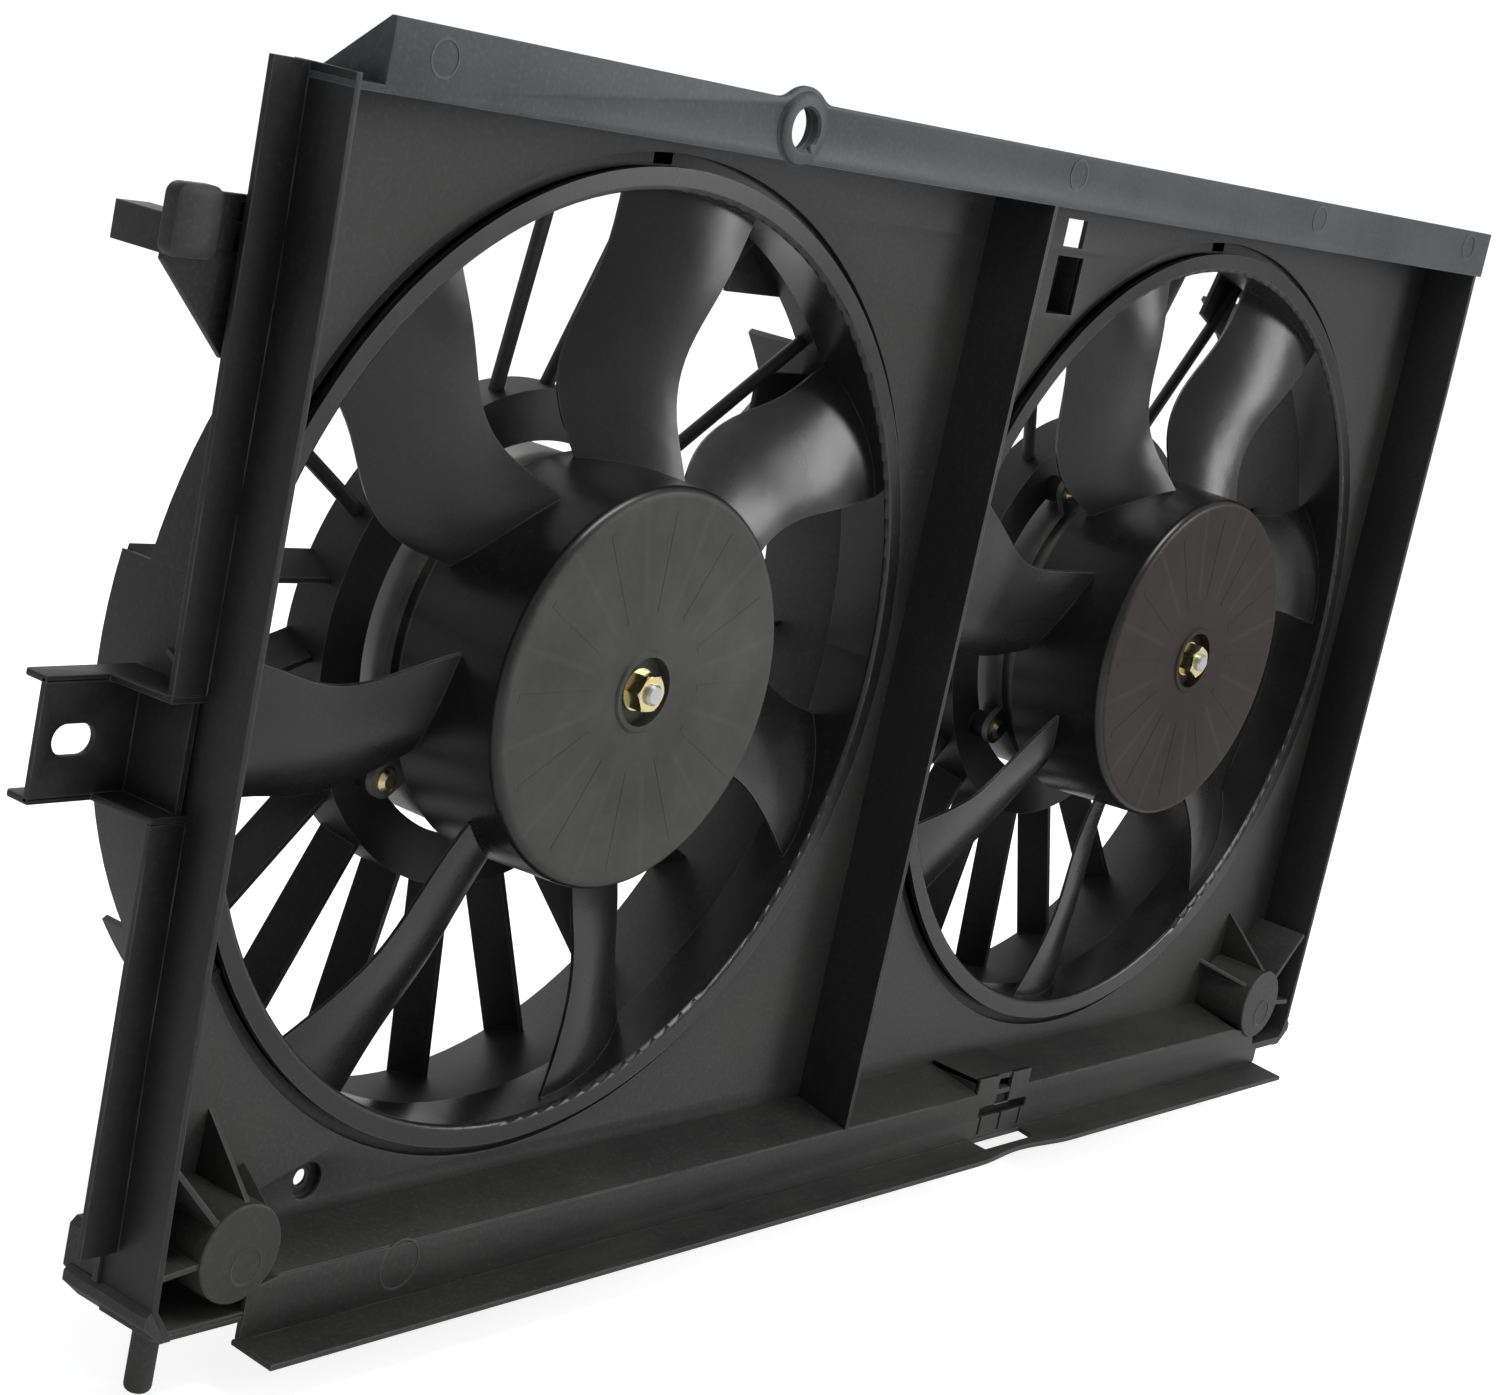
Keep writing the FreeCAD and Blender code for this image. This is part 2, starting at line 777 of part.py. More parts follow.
def motor_end_plate():
    plate = turned([
        (seat_radius, cap_front),
        (cap_radius, cap_front),
        (cap_radius, cap_front + cap_rim),
        (groove_radius, cap_front + cap_rim),
        (groove_radius, lobe_front),
        (can_radius, lobe_front),
        (can_radius, can_front),
        (cap_inner_radius, can_front),
        (cap_inner_radius, cap_front + cap_wall),
        (seat_boss_radius, cap_front + cap_wall),
        (seat_boss_radius, cap_front + bearing_width),
        (seat_radius, cap_front + bearing_width),
    ])
    plate = plate.makeFillet(cap_wall / 2, circle_edges(plate, cap_radius, cap_front))
    lobe = fused([
        rod(lobe_radius, screw_circle, lobe_front, can_front, 0),
        box(groove_radius, screw_circle, lobe_front, can_front, -lobe_radius, lobe_radius),
    ])
    hole = rod(screw_radius + screw_clearance, screw_circle, cap_front, can_front + 1, 0)
    lobes = ring_of(lobe, screw_count, screw_first)
    return fused([plate] + lobes).cut(ring_of(hole, screw_count, screw_first))


def motor_screws():
    head_front = lobe_front - screw_head
    head = turned([
        (0, head_front),
        (screw_head_radius * 0.6, head_front),
        (screw_head_radius, head_front + screw_head * 0.6),
        (screw_head_radius, lobe_front),
        (screw_radius, lobe_front),
        (screw_radius, lobe_front + screw_length),
        (0, lobe_front + screw_length),
    ])
    screw = moved(head, screw_circle, 0, 0)
    return Part.makeCompound(ring_of(screw, screw_count, screw_first))


def bearing(front):
    return turned([
        (bore_radius, front),
        (bearing_radius, front),
        (bearing_radius, front + bearing_width),
        (bore_radius, front + bearing_width),
    ])


# Four curved magnets line the can around the slotted armature.
def magnets():
    front = core_front - magnet_overhang
    rear = core_rear + magnet_overhang
    shell = turned([(magnet_inner, front), (magnet_outer, front), (magnet_outer, rear), (magnet_inner, rear)])
    piece = shell.common(sector(can_radius, -magnet_span / 2, magnet_span / 2, front - 1, rear + 1))
    return Part.makeCompound(ring_of(piece, magnet_count))


def armature_slots(front, rear):
    depth_from = core_radius - core_tooth_tip - core_slot_depth
    slot = box(depth_from, core_radius - core_tooth_tip, front, rear, -core_slot_width / 2, core_slot_width / 2)
    return ring_of(slot, core_slot_count)


def armature_core():
    core = turned([
        (bore_radius, core_front),
        (core_radius, core_front),
        (core_radius, core_rear),
        (bore_radius, core_rear),
    ])
    return core.cut(armature_slots(core_front - 1, core_rear + 1))


def armature_winding():
    outer = core_radius - core_tooth_tip
    bars = armature_slots(core_front, core_rear)
    coils = [
        turned([(winding_inner, front), (outer, front), (outer, rear), (winding_inner, rear)])
        for front, rear in ((core_front - winding_overhang, core_front), (core_rear, core_rear + winding_overhang))
    ]
    return fused(coils + bars)


def commutator():
    body = turned([
        (bore_radius, commutator_front),
        (commutator_radius, commutator_front),
        (commutator_radius, commutator_rear),
        (bore_radius, commutator_rear),
    ])
    half = commutator_slit / 2
    slit = box(commutator_radius - commutator_slit_depth, commutator_radius + commutator_slit_depth,
               commutator_front - commutator_gap, commutator_rear + commutator_gap, -half, half)
    return body.cut(ring_of(slit, core_slot_count))


# The brushes bear on the commutator in guides on a flat holder ring.
def brushes():
    start = commutator_radius + brush_gap
    half = brush_section / 2
    brush = box(start, start + brush_length, can_front, can_front + brush_section, -half, half)
    return Part.makeCompound(ring_of(brush, brush_count, screw_first))


def brush_holder():
    front = can_front - holder_thickness
    plate = turned([
        (holder_inner, front),
        (cap_inner_radius, front),
        (cap_inner_radius, can_front),
        (holder_inner, can_front),
    ])
    half = brush_section / 2
    start = commutator_radius + brush_gap
    outer = box(holder_inner, start + brush_length, front, can_front + brush_section + holder_guide,
                -half - holder_guide, half + holder_guide)
    inner = box(start - 1, start + brush_length + 1, can_front, can_front + brush_section, -half, half)
    guides = ring_of(outer, brush_count, screw_first)
    return fused([plate] + guides).cut(ring_of(inner, brush_count, screw_first))


def motor_shaft():
    return turned([
        (0, shaft_front),
        (shaft_radius - shaft_chamfer, shaft_front),
        (shaft_radius, shaft_front + shaft_chamfer),
        (shaft_radius, shaft_rear - shaft_chamfer),
        (shaft_radius - shaft_chamfer, shaft_rear),
        (0, shaft_rear),
    ])


def shaft_nut():
    corner = nut_across_flats / 2 / math.cos(math.radians(30))
    hexagon = [polar(corner, 60 * index, nut_front) for index in range(6)]
    prism = face_from(hexagon).extrude(V(0, nut_height, 0))
    barrel = turned([
        (bore_radius, nut_front),
        (corner - nut_chamfer, nut_front),
        (corner, nut_front + nut_chamfer / 2),
        (corner, washer_front),
        (bore_radius, washer_front),
    ])
    return prism.common(barrel)


def shaft_washer():
    return turned([
        (bore_radius, washer_front),
        (washer_radius, washer_front),
        (washer_radius, washer_rear),
        (bore_radius, washer_rear),
    ])


# The fan is one moulding: a ribbed hub cup, seven swept and twisted blades, and
# a band with a turned-out lip that joins their tips.
def fan_hub():
    wall_front = hub_front + hub_wall
    ring_front_y = hub_front - recess_ring_height
    recess_outer = recess_radius + hub_wall
    hub = turned([
        (bore_radius, washer_rear),
        (recess_radius, washer_rear),
        (recess_radius, ring_front_y),
        (recess_radius + recess_ring_width, ring_front_y),
        (recess_radius + recess_ring_width + recess_ring_height, hub_front),
        (hub_radius_front, hub_front),
        (hub_radius_rear, hub_rear),
        (hub_radius_rear - hub_wall, hub_rear),
        (hub_radius_front - hub_wall, wall_front),
        (recess_outer, wall_front),
        (recess_outer, washer_rear + hub_wall),
        (hub_boss_radius, washer_rear + hub_wall),
        (hub_boss_radius, washer_rear + hub_boss_length),
        (bore_radius, washer_rear + hub_boss_length),
    ])
    hub = hub.makeFillet(hub_edge, circle_edges(hub, hub_radius_front, hub_front))
    rib = box(hub_boss_radius - 1, hub_radius_front - hub_wall / 2, wall_front - hub_wall / 4,
              wall_front + hub_rib_depth, -hub_rib / 2, hub_rib / 2)
    recess = rod(recess_radius, 0, hub_front - 1, washer_rear, 0)
    return fused([hub] + ring_of(rib, hub_rib_count)).cut(recess)


def fan_band():
    outer = band_radius + band_wall
    band = turned([
        (band_radius, band_lip_front),
        (band_lip_radius, band_lip_front),
        (band_lip_radius, band_lip_front + band_lip),
        (outer, band_lip_front + band_lip),
        (outer, band_rear),
        (band_radius, band_rear),
    ])
    return band.makeFillet(band_lip_round, circle_edges(band, band_radius, band_lip_front))


def blade_profile(radius, section):
    """Thin cambered section, square to the radius through the middle of the blade."""
    lead_angle, lead_y, trail_angle, trail_y = section
    lead = polar(radius, lead_angle, lead_y)
    trail = polar(radius, trail_angle, trail_y)
    outward = polar(1.0, (lead_angle + trail_angle) / 2)
    chord = trail - lead
    front = outward.cross(chord)
    if front.y > 0:
        front = front * -1
    front.normalize()
    middle = (lead + trail) * 0.5 + front * (chord.Length * blade_camber)
    edge = front * (blade_edge / 2)
    swell = front * (blade_middle / 2)
    return Part.Wire([
        Part.Arc(lead + edge, middle + swell, trail + edge).toShape(),
        Part.LineSegment(trail + edge, trail - edge).toShape(),
        Part.Arc(trail - edge, middle - swell, lead - edge).toShape(),
        Part.LineSegment(lead - edge, lead + edge).toShape(),
    ])


def carried_on(first, second, share):
    """The section past the first one, away from the second, by a share of their step."""
    return tuple(a + (a - b) * share for a, b in zip(first, second))


def fan_blade():
    hub_radius = (hub_radius_front + hub_radius_rear) / 2
    span = band_radius - hub_radius
    last = len(blade_sections) - 1
    share = blade_overrun * last
    radii = [hub_radius + span * index / last for index in range(last + 1)]
    sections = list(blade_sections)
    before = carried_on(sections[0], sections[1], share)
    after = carried_on(sections[-1], sections[-2], share)
    radii = [hub_radius - span * blade_overrun] + radii + [band_radius + span * blade_overrun]
    wires = [blade_profile(radius, section) for radius, section in zip(radii, [before] + sections + [after])]
    blade = Part.makeLoft(wires, True, False)
    reach = 2 * (band_rear - hub_front)
    blade = blade.common(rod(band_radius + band_wall / 2, 0, -reach, reach, 0))
    return blade.cut(rod(hub_radius - hub_wall / 2, 0, -reach, reach, 0))


def fan():
    blades = ring_of(fan_blade(), blade_count)
    return fused([fan_hub(), fan_band()] + blades)


def write(name, shape):
    shape.exportStep(os.path.join("parts", name + ".step"))


os.makedirs("parts", exist_ok=True)

write("shroud_plate", shroud_plate())
write("centre_divider", centre_divider())
write("top_rail", top_rail())
write("tray_floor", tray_floor())
write("bottom_rail", bottom_rail())
write("side_bracket", side_bracket())
write("harness_connector", connector())

fan_pieces = {
    "air_duct": air_duct(),
    "motor_ring": motor_ring(),
    "guide_vanes": guide_vanes(),
    "tie_rods": tie_rods(),
    "motor_can": motor_can(),
    "motor_end_plate": motor_end_plate(),
    "motor_screws": motor_screws(),
    "front_bearing": bearing(cap_front),
    "rear_bearing": bearing(rear_bearing_front),
    "magnets": magnets(),
    "brush_holder": brush_holder(),
    "brushes": brushes(),
}
spinning_pieces = {
    "fan": fan(),
    "motor_shaft": motor_shaft(),
    "shaft_nut": shaft_nut(),
    "shaft_washer": shaft_washer(),
    "armature_core": armature_core(),
    "armature_winding": armature_winding(),
    "commutator": commutator(),
}

for side in ("left", "right"):
    write(side + "_side_wall", side_wall(side))
    write(side + "_corner_foot", corner_foot(side))
    write(side + "_corner_boss", corner_boss(side))
    for name, shape in fan_pieces.items():
        write(side + "_" + name, at_fan(shape, side))
    for name, shape in spinning_pieces.items():
        write(side + "_" + name, at_fan(swung(shape, fan_turn[side]), side))
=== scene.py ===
import math

import bmesh
import bpy
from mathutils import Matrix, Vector


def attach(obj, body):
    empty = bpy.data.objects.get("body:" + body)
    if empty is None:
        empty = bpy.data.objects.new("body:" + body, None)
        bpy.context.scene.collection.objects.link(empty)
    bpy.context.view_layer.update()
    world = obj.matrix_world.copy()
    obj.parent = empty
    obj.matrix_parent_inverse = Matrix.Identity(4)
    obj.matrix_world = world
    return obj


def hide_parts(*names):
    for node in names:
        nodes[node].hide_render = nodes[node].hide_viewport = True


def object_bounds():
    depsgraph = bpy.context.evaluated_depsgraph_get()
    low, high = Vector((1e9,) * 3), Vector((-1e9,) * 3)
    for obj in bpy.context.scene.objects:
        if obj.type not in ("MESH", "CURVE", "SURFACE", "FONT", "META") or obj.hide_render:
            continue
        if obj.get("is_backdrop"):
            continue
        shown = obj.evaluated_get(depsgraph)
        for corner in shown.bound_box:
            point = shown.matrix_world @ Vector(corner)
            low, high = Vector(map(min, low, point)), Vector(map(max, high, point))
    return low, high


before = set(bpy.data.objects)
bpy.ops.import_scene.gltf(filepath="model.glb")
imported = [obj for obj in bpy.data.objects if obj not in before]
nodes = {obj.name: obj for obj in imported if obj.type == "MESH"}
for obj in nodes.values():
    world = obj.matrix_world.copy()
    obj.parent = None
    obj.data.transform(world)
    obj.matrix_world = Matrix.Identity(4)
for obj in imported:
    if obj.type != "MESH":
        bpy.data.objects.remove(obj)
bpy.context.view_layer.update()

# Viewpoint and studio
# The part stands in a photographer's sweep of white paper under large soft boxes. The camera is close,
# to the left of the part and level with its top edge, with a short telephoto lens.
photo_width = 1500.0
focal_pixels = 3044.9
camera_place = Vector((-0.8691, -0.6637, 0.0219))
camera_aim = Vector((0.0763, 0.0290, -0.2209))
camera_roll = math.radians(11.91)

camera_data = bpy.data.cameras.new("studio_camera")
camera_data.sensor_width = 36.0
camera_data.lens = focal_pixels / photo_width * camera_data.sensor_width
camera_data.clip_start = 0.05
camera_data.clip_end = 50.0
camera = bpy.data.objects.new("studio_camera", camera_data)
bpy.context.scene.collection.objects.link(camera)
level_look = (camera_aim - camera_place).to_track_quat("-Z", "Y")
camera.location = camera_place
camera.rotation_euler = level_look.to_euler()
camera.rotation_euler.rotate_axis("Z", camera_roll)
bpy.context.scene.camera = camera
bpy.context.scene.view_settings.view_transform = "Standard"


def split_glow(tree, strength, on_part, in_view):
    """Makes a glow brighter in the camera's view than it is on the part."""
    sight = tree.nodes.new("ShaderNodeLightPath")
    glow = tree.nodes.new("ShaderNodeMapRange")
    glow.inputs["To Min"].default_value = on_part
    glow.inputs["To Max"].default_value = in_view
    tree.links.new(sight.outputs["Is Camera Ray"], glow.inputs["Value"])
    tree.links.new(glow.outputs["Result"], strength)


low, high = (Vector(corner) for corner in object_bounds())
paper_size = 12.0
paper_gap = 0.002
paper_centre = (low + high) / 2
paper_mesh = bpy.data.meshes.new("paper_floor")
paper_mesh.from_pydata(
    [
        (paper_centre.x + sx * paper_size / 2, paper_centre.y + sy * paper_size / 2, low.z - paper_gap)
        for sx, sy in ((-1, -1), (1, -1), (1, 1), (-1, 1))
    ],
    [],
    [(0, 1, 2, 3)],
)
paper = bpy.data.objects.new("paper_floor", paper_mesh)
bpy.context.scene.collection.objects.link(paper)
paper_finish = bpy.data.materials.new("white_paper")
paper_finish.use_nodes = True
paper_shader = paper_finish.node_tree.nodes["Principled BSDF"]
paper_shader.inputs["Base Color"].default_value = (0.88, 0.88, 0.88, 1.0)
paper_shader.inputs["Roughness"].default_value = 0.9
paper_shader.inputs["Emission Color"].default_value = (1.0, 1.0, 1.0, 1.0)
split_glow(paper_finish.node_tree, paper_shader.inputs["Emission Strength"], on_part=0.08, in_view=0.72)
paper.data.materials.append(paper_finish)
paper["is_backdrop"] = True

world = bpy.data.worlds.new("studio_air")
bpy.context.scene.world = world
world.use_nodes = True
air = world.node_tree.nodes["Background"]
air.inputs["Color"].default_value = (0.985, 0.99, 1.0, 1.0)
split_glow(world.node_tree, air.inputs["Strength"], on_part=0.40, in_view=1.05)


def soft_box(name, place, width, height, power):
    """A large rectangular studio light, aimed where the camera looks."""
    data = bpy.data.lights.new(name, "AREA")
    data.shape = "RECTANGLE"
    data.size = width
    data.size_y = height
    data.energy = power
    lamp = bpy.data.objects.new(name, data)
    lamp.location = place
    lamp.rotation_euler = (camera_aim - Vector(place)).to_track_quat("-Z", "Y").to_euler()
    bpy.context.scene.collection.objects.link(lamp)


soft_box("overhead_box", (0.2, -0.7, 1.6), width=1.1, height=0.6, power=17.0)
soft_box("right_box", (1.55, -1.45, 0.4), width=0.6, height=1.0, power=13.0)
soft_box("rear_box", (0.6, 1.6, 0.7), width=1.2, height=1.0, power=5.0)

# Moulded plastic
# The shroud is mineral-filled polypropylene from a spark-eroded tool: black, with a fine grain, cloudy
# drifts of paler flow marks, and edges that handling has rubbed a little lighter.
dust_grey = (0.16, 0.16, 0.155)
rubbed_grey = (0.24, 0.24, 0.235)


def new_group(name, inputs, outputs):
    """An empty shader node group with its sockets."""
    group = bpy.data.node_groups.new(name, "ShaderNodeTree")
    for label, kind, value in inputs:
        socket = group.interface.new_socket(name=label, in_out="INPUT", socket_type=kind)
        socket.default_value = value
    for label, kind in outputs:
        group.interface.new_socket(name=label, in_out="OUTPUT", socket_type=kind)
    group.nodes.new("NodeGroupInput")
    group.nodes.new("NodeGroupOutput")
    return group


def wire(group, source, socket, target, target_socket):
    """Links one node's output to another node's input."""
    group.links.new(source.outputs[socket], target.inputs[target_socket])


def stepped(group, source, socket, low_value, high_value):
    """A value spread from one limit to the other, from 0 to 1."""
    spread = group.nodes.new("ShaderNodeMapRange")
    spread.inputs["From Min"].default_value = low_value
    spread.inputs["From Max"].default_value = high_value
    wire(group, source, socket, spread, "Value")
    return spread


def reckoned(group, operation, first, second=None, third=None):
    """A Math node whose inputs are numbers or (node, socket) pairs."""
    node = group.nodes.new("ShaderNodeMath")
    node.operation = operation
    for index, given in enumerate((first, second, third)):
        if given is None:
            continue
        if isinstance(given, tuple):
            wire(group, given[0], given[1], node, index)
        else:
            node.inputs[index].default_value = given
    return node


def blended(group, factor, first, second):
    """A colour mix of (node, socket) pairs or plain colours."""
    mix = group.nodes.new("ShaderNodeMix")
    mix.data_type = "RGBA"
    wire(group, factor[0], factor[1], mix, "Factor")
    for label, given in (("A", first), ("B", second)):
        if isinstance(given[0], float):
            mix.inputs[label].default_value = (*given, 1.0)
        else:
            wire(group, given[0], given[1], mix, label)
    return mix


def moulded_plastic_group():
    """Colour, roughness, grain height and edge wear of a filled moulding."""
    group = new_group(
        "moulded_plastic",
        [
            ("Dark", "NodeSocketColor", (0.02, 0.02, 0.02, 1.0)),
            ("Pale", "NodeSocketColor", (0.05, 0.05, 0.05, 1.0)),
            ("Drift Scale", "NodeSocketFloat", 9.0),
            ("Grain Scale", "NodeSocketFloat", 1500.0),
            ("Roughness", "NodeSocketFloat", 0.5),
            ("Dust", "NodeSocketFloat", 0.2),
            ("Edge Wear", "NodeSocketFloat", 0.4),
            ("Edge Radius", "NodeSocketFloat", 0.0007),
        ],
        [
            ("Color", "NodeSocketColor"),
            ("Roughness", "NodeSocketFloat"),
            ("Height", "NodeSocketFloat"),
        ],
    )
    given = group.nodes["Group Input"]
    result = group.nodes["Group Output"]
    place = group.nodes.new("ShaderNodeTexCoord")
    drift = group.nodes.new("ShaderNodeTexNoise")
    drift.inputs["Detail"].default_value = 6.0
    drift.inputs["Roughness"].default_value = 0.62
    wire(group, place, "Object", drift, "Vector")
    wire(group, given, "Drift Scale", drift, "Scale")
    spread = stepped(group, drift, "Fac", 0.32, 0.7)
    base = blended(group, (spread, "Result"), (given, "Dark"), (given, "Pale"))

    speck = group.nodes.new("ShaderNodeTexNoise")
    speck.inputs["Scale"].default_value = 520.0
    speck.inputs["Detail"].default_value = 3.0
    wire(group, place, "Object", speck, "Vector")
    speck_spread = stepped(group, speck, "Fac", 0.5, 0.85)
    dusted = reckoned(group, "MULTIPLY", (speck_spread, "Result"), (given, "Dust"))
    dusty = blended(group, (dusted, "Value"), (base, "Result"), dust_grey)

    corner = group.nodes.new("ShaderNodeBevel")
    corner.samples = 4
    wire(group, given, "Edge Radius", corner, "Radius")
    flat = group.nodes.new("ShaderNodeNewGeometry")
    agree = group.nodes.new("ShaderNodeVectorMath")
    agree.operation = "DOT_PRODUCT"
    wire(group, corner, "Normal", agree, 0)
    wire(group, flat, "Normal", agree, 1)
    edge = stepped(group, agree, "Value", 0.995, 0.82)
    rubbed = group.nodes.new("ShaderNodeTexNoise")
    rubbed.inputs["Scale"].default_value = 60.0
    rubbed.inputs["Detail"].default_value = 4.0
    wire(group, place, "Object", rubbed, "Vector")
    rubbed_spread = stepped(group, rubbed, "Fac", 0.3, 0.62)
    uneven = reckoned(group, "MULTIPLY", (edge, "Result"), (rubbed_spread, "Result"))
    worn = reckoned(group, "MULTIPLY", (uneven, "Value"), (given, "Edge Wear"))
    colour = blended(group, (worn, "Value"), (dusty, "Result"), rubbed_grey)
    wire(group, colour, "Result", result, "Color")

    sheen = reckoned(group, "MULTIPLY_ADD", (spread, "Result"), 0.14, (given, "Roughness"))
    wire(group, sheen, "Value", result, "Roughness")
    grain = group.nodes.new("ShaderNodeTexNoise")
    grain.inputs["Detail"].default_value = 2.0
    wire(group, place, "Object", grain, "Vector")
    wire(group, given, "Grain Scale", grain, "Scale")
    wire(group, grain, "Fac", result, "Height")
    return group


moulded_plastic = moulded_plastic_group()


def plastic_finish(name, dark, pale, drift_scale, roughness, dust,
                   grain_depth=0.00008, edge_wear=0.5, edge_radius=0.0008):
    """A plastic material: the moulded group and its fine grain."""
    finish = bpy.data.materials.new(name)
    finish.use_nodes = True
    tree = finish.node_tree
    shader = tree.nodes["Principled BSDF"]
    skin = tree.nodes.new("ShaderNodeGroup")
    skin.name = "moulded_skin"
    skin.node_tree = moulded_plastic
    skin.inputs["Dark"].default_value = (*dark, 1.0)
    skin.inputs["Pale"].default_value = (*pale, 1.0)
    skin.inputs["Drift Scale"].default_value = drift_scale
    skin.inputs["Roughness"].default_value = roughness
    skin.inputs["Dust"].default_value = dust
    skin.inputs["Edge Wear"].default_value = edge_wear
    skin.inputs["Edge Radius"].default_value = edge_radius
    tree.links.new(skin.outputs["Color"], shader.inputs["Base Color"])
    tree.links.new(skin.outputs["Roughness"], shader.inputs["Roughness"])
    bump = tree.nodes.new("ShaderNodeBump")
    bump.inputs["Strength"].default_value = 0.4
    bump.inputs["Distance"].default_value = grain_depth
    tree.links.new(skin.outputs["Height"], bump.inputs["Height"])
    tree.links.new(bump.outputs["Normal"], shader.inputs["Normal"])
    return finish


shroud_black = plastic_finish(
    "shroud_black", (0.010, 0.0101, 0.0098), (0.030, 0.030, 0.028), drift_scale=8.0, roughness=0.46, dust=0.16
)
# A darker copy of the shroud's plastic for the side walls, divider, bracket, motor rings and guide vanes:
# painted shade, with less dust speckle as well.
painted_shade_black = plastic_finish(
    "painted_shade_black", (0.006, 0.0062, 0.0062), (0.013, 0.0133, 0.013), drift_scale=9.0, roughness=0.44, dust=0.08
)
# The top rail's own paler finish: partly more dust, partly painted sheen, the light that catches its upright
# face painted in as a paler colour.
rail_dust_and_painted_sheen = plastic_finish(
    "rail_dust_and_painted_sheen", (0.026, 0.028, 0.031), (0.062, 0.066, 0.072), drift_scale=14.0, roughness=0.42, dust=0.3
)

# Shroud plate
# The flat front wall of the moulding, with a round opening for each fan. Beside the divider it has a
# window and a pocket, low on the left a cupped screw hole, and an arm behind it takes the connector.
mm = 0.001
left_axis = -27.0
right_axis = 370.0
axis_height = -206.0
plate_front = 29.0
rim_front = 2.0
sheet = 2.5
plate_back = plate_front + sheet
lap = 1.0
thin_rim = 0.3


def plate_mesh(outline, start, end, along="y", holes=(), rim=0.4):
    """A plate with rounded rims, drawn in millimetres and given its thickness along one axis."""
    curve = bpy.data.curves.new("outline", "CURVE")
    curve.dimensions = "2D"
    curve.fill_mode = "BOTH"
    half = (end - start) / 2
    curve.extrude = half - rim
    curve.bevel_depth = rim
    curve.bevel_resolution = 1
    curve.offset = -rim
    for loop in (outline, *holes):
        spline = curve.splines.new("POLY")
        spline.points.add(len(loop) - 1)
        for point, (u, v) in zip(spline.points, loop):
            point.co = (u, v, 0, 1)
        spline.use_cyclic_u = True
    holder = bpy.data.objects.new("outline", curve)
    mesh = bpy.data.meshes.new_from_object(holder)
    bpy.data.objects.remove(holder)
    bpy.data.curves.remove(curve)
    middle = (start + end) / 2
    for vertex in mesh.vertices:
        u, v, w = vertex.co
        depth = w + middle
        vertex.co = {"y": (u, depth, v), "x": (depth, u, v), "z": (u, v, depth)}[along]
    return mesh


def arc_points(centre_x, centre_z, radius, start, end, count):
    """Points along an arc, its angles counted from +X towards +Z."""
    turns = [math.radians(start + (end - start) * index / (count - 1)) for index in range(count)]
    return [(centre_x + radius * math.cos(turn), centre_z + radius * math.sin(turn)) for turn in turns]


def ring_points(centre_x, centre_z, radius, count=48):
    """Points round a full circle."""
    return arc_points(centre_x, centre_z, radius, 0, 360 - 360 / count, count)


def rectangle(x0, x1, z0, z1):
    """The corners of an upright rectangle."""
    return [(x0, z0), (x1, z0), (x1, z1), (x0, z1)]


def lathe_mesh(profile, centre_x, centre_z, steps=72):
    """A closed solid of revolution about an axis along Y, from (radius, y) points in millimetres."""
    mesh = bpy.data.meshes.new("turned")
    places = []
    for step in range(steps):
        turn = 2 * math.pi * step / steps
        places += [(centre_x + r * math.cos(turn), y, centre_z + r * math.sin(turn)) for r, y in profile]
    size = len(profile)
    faces = []
    for step in range(steps):
        here = step * size
        after = (step + 1) % steps * size
        faces += [(here + k, here + (k + 1) % size, after + (k + 1) % size, after + k) for k in range(size)]
    mesh.from_pydata(places, [], faces)
    return mesh


def moulded_piece(name, parts, finish, slot, body, *stands_for):
    """Joins part meshes in millimetres into one finished piece."""
    whole = bmesh.new()
    for part in parts:
        shape = bmesh.new()
        shape.from_mesh(part)
        bmesh.ops.remove_doubles(shape, verts=shape.verts, dist=0.004)
        bmesh.ops.dissolve_degenerate(shape, edges=shape.edges, dist=0.001)
        bmesh.ops.recalc_face_normals(shape, faces=shape.faces)
        shape.to_mesh(part)
        shape.free()
        whole.from_mesh(part)
        bpy.data.meshes.remove(part)
    bmesh.ops.scale(whole, vec=(mm, mm, mm), verts=whole.verts)
    mesh = bpy.data.meshes.new(name)
    whole.to_mesh(mesh)
    whole.free()
    mesh.shade_smooth()
    mesh.set_sharp_from_angle(angle=math.radians(32))
    mesh.materials.append(finish)
    piece = bpy.data.objects.new(name, mesh)
    bpy.context.scene.collection.objects.link(piece)
    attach(piece, body)
    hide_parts(*stands_for)


opening_radius = 189.0
opening_steps = 144
plate_top = -9.5
plate_floor = -405.5
corner_under = -422.0
window = rectangle(228, 243, -29.3, -17.5)
pocket_left, pocket_right = 226.0, 246.0
pocket_low, pocket_high = -57.7, -33.3
pocket_depth = 12.0
screw_x, screw_z = -123.0, -391.0
screw_hole = 3.25
cup_radius = 7.0
cup_floor = 32.4
cup_back = 34.0
plate_outline = [
    (-218, plate_top),
    (570, plate_top),
    (578, plate_top),
    (574, corner_under),
    (527, corner_under),
    (519, -413.5),
    (511, plate_floor),
    (-153, plate_floor),
    (-161, -413.5),
    (-169, corner_under),
    (-206, corner_under),
    (-214, -411),
]
plate_holes = [ring_points(x, axis_height, opening_radius, opening_steps) for x in (left_axis, right_axis)]
plate_holes += [
    window,
    rectangle(pocket_left, pocket_right, pocket_low, pocket_high),
    ring_points(screw_x, screw_z, cup_radius),
]
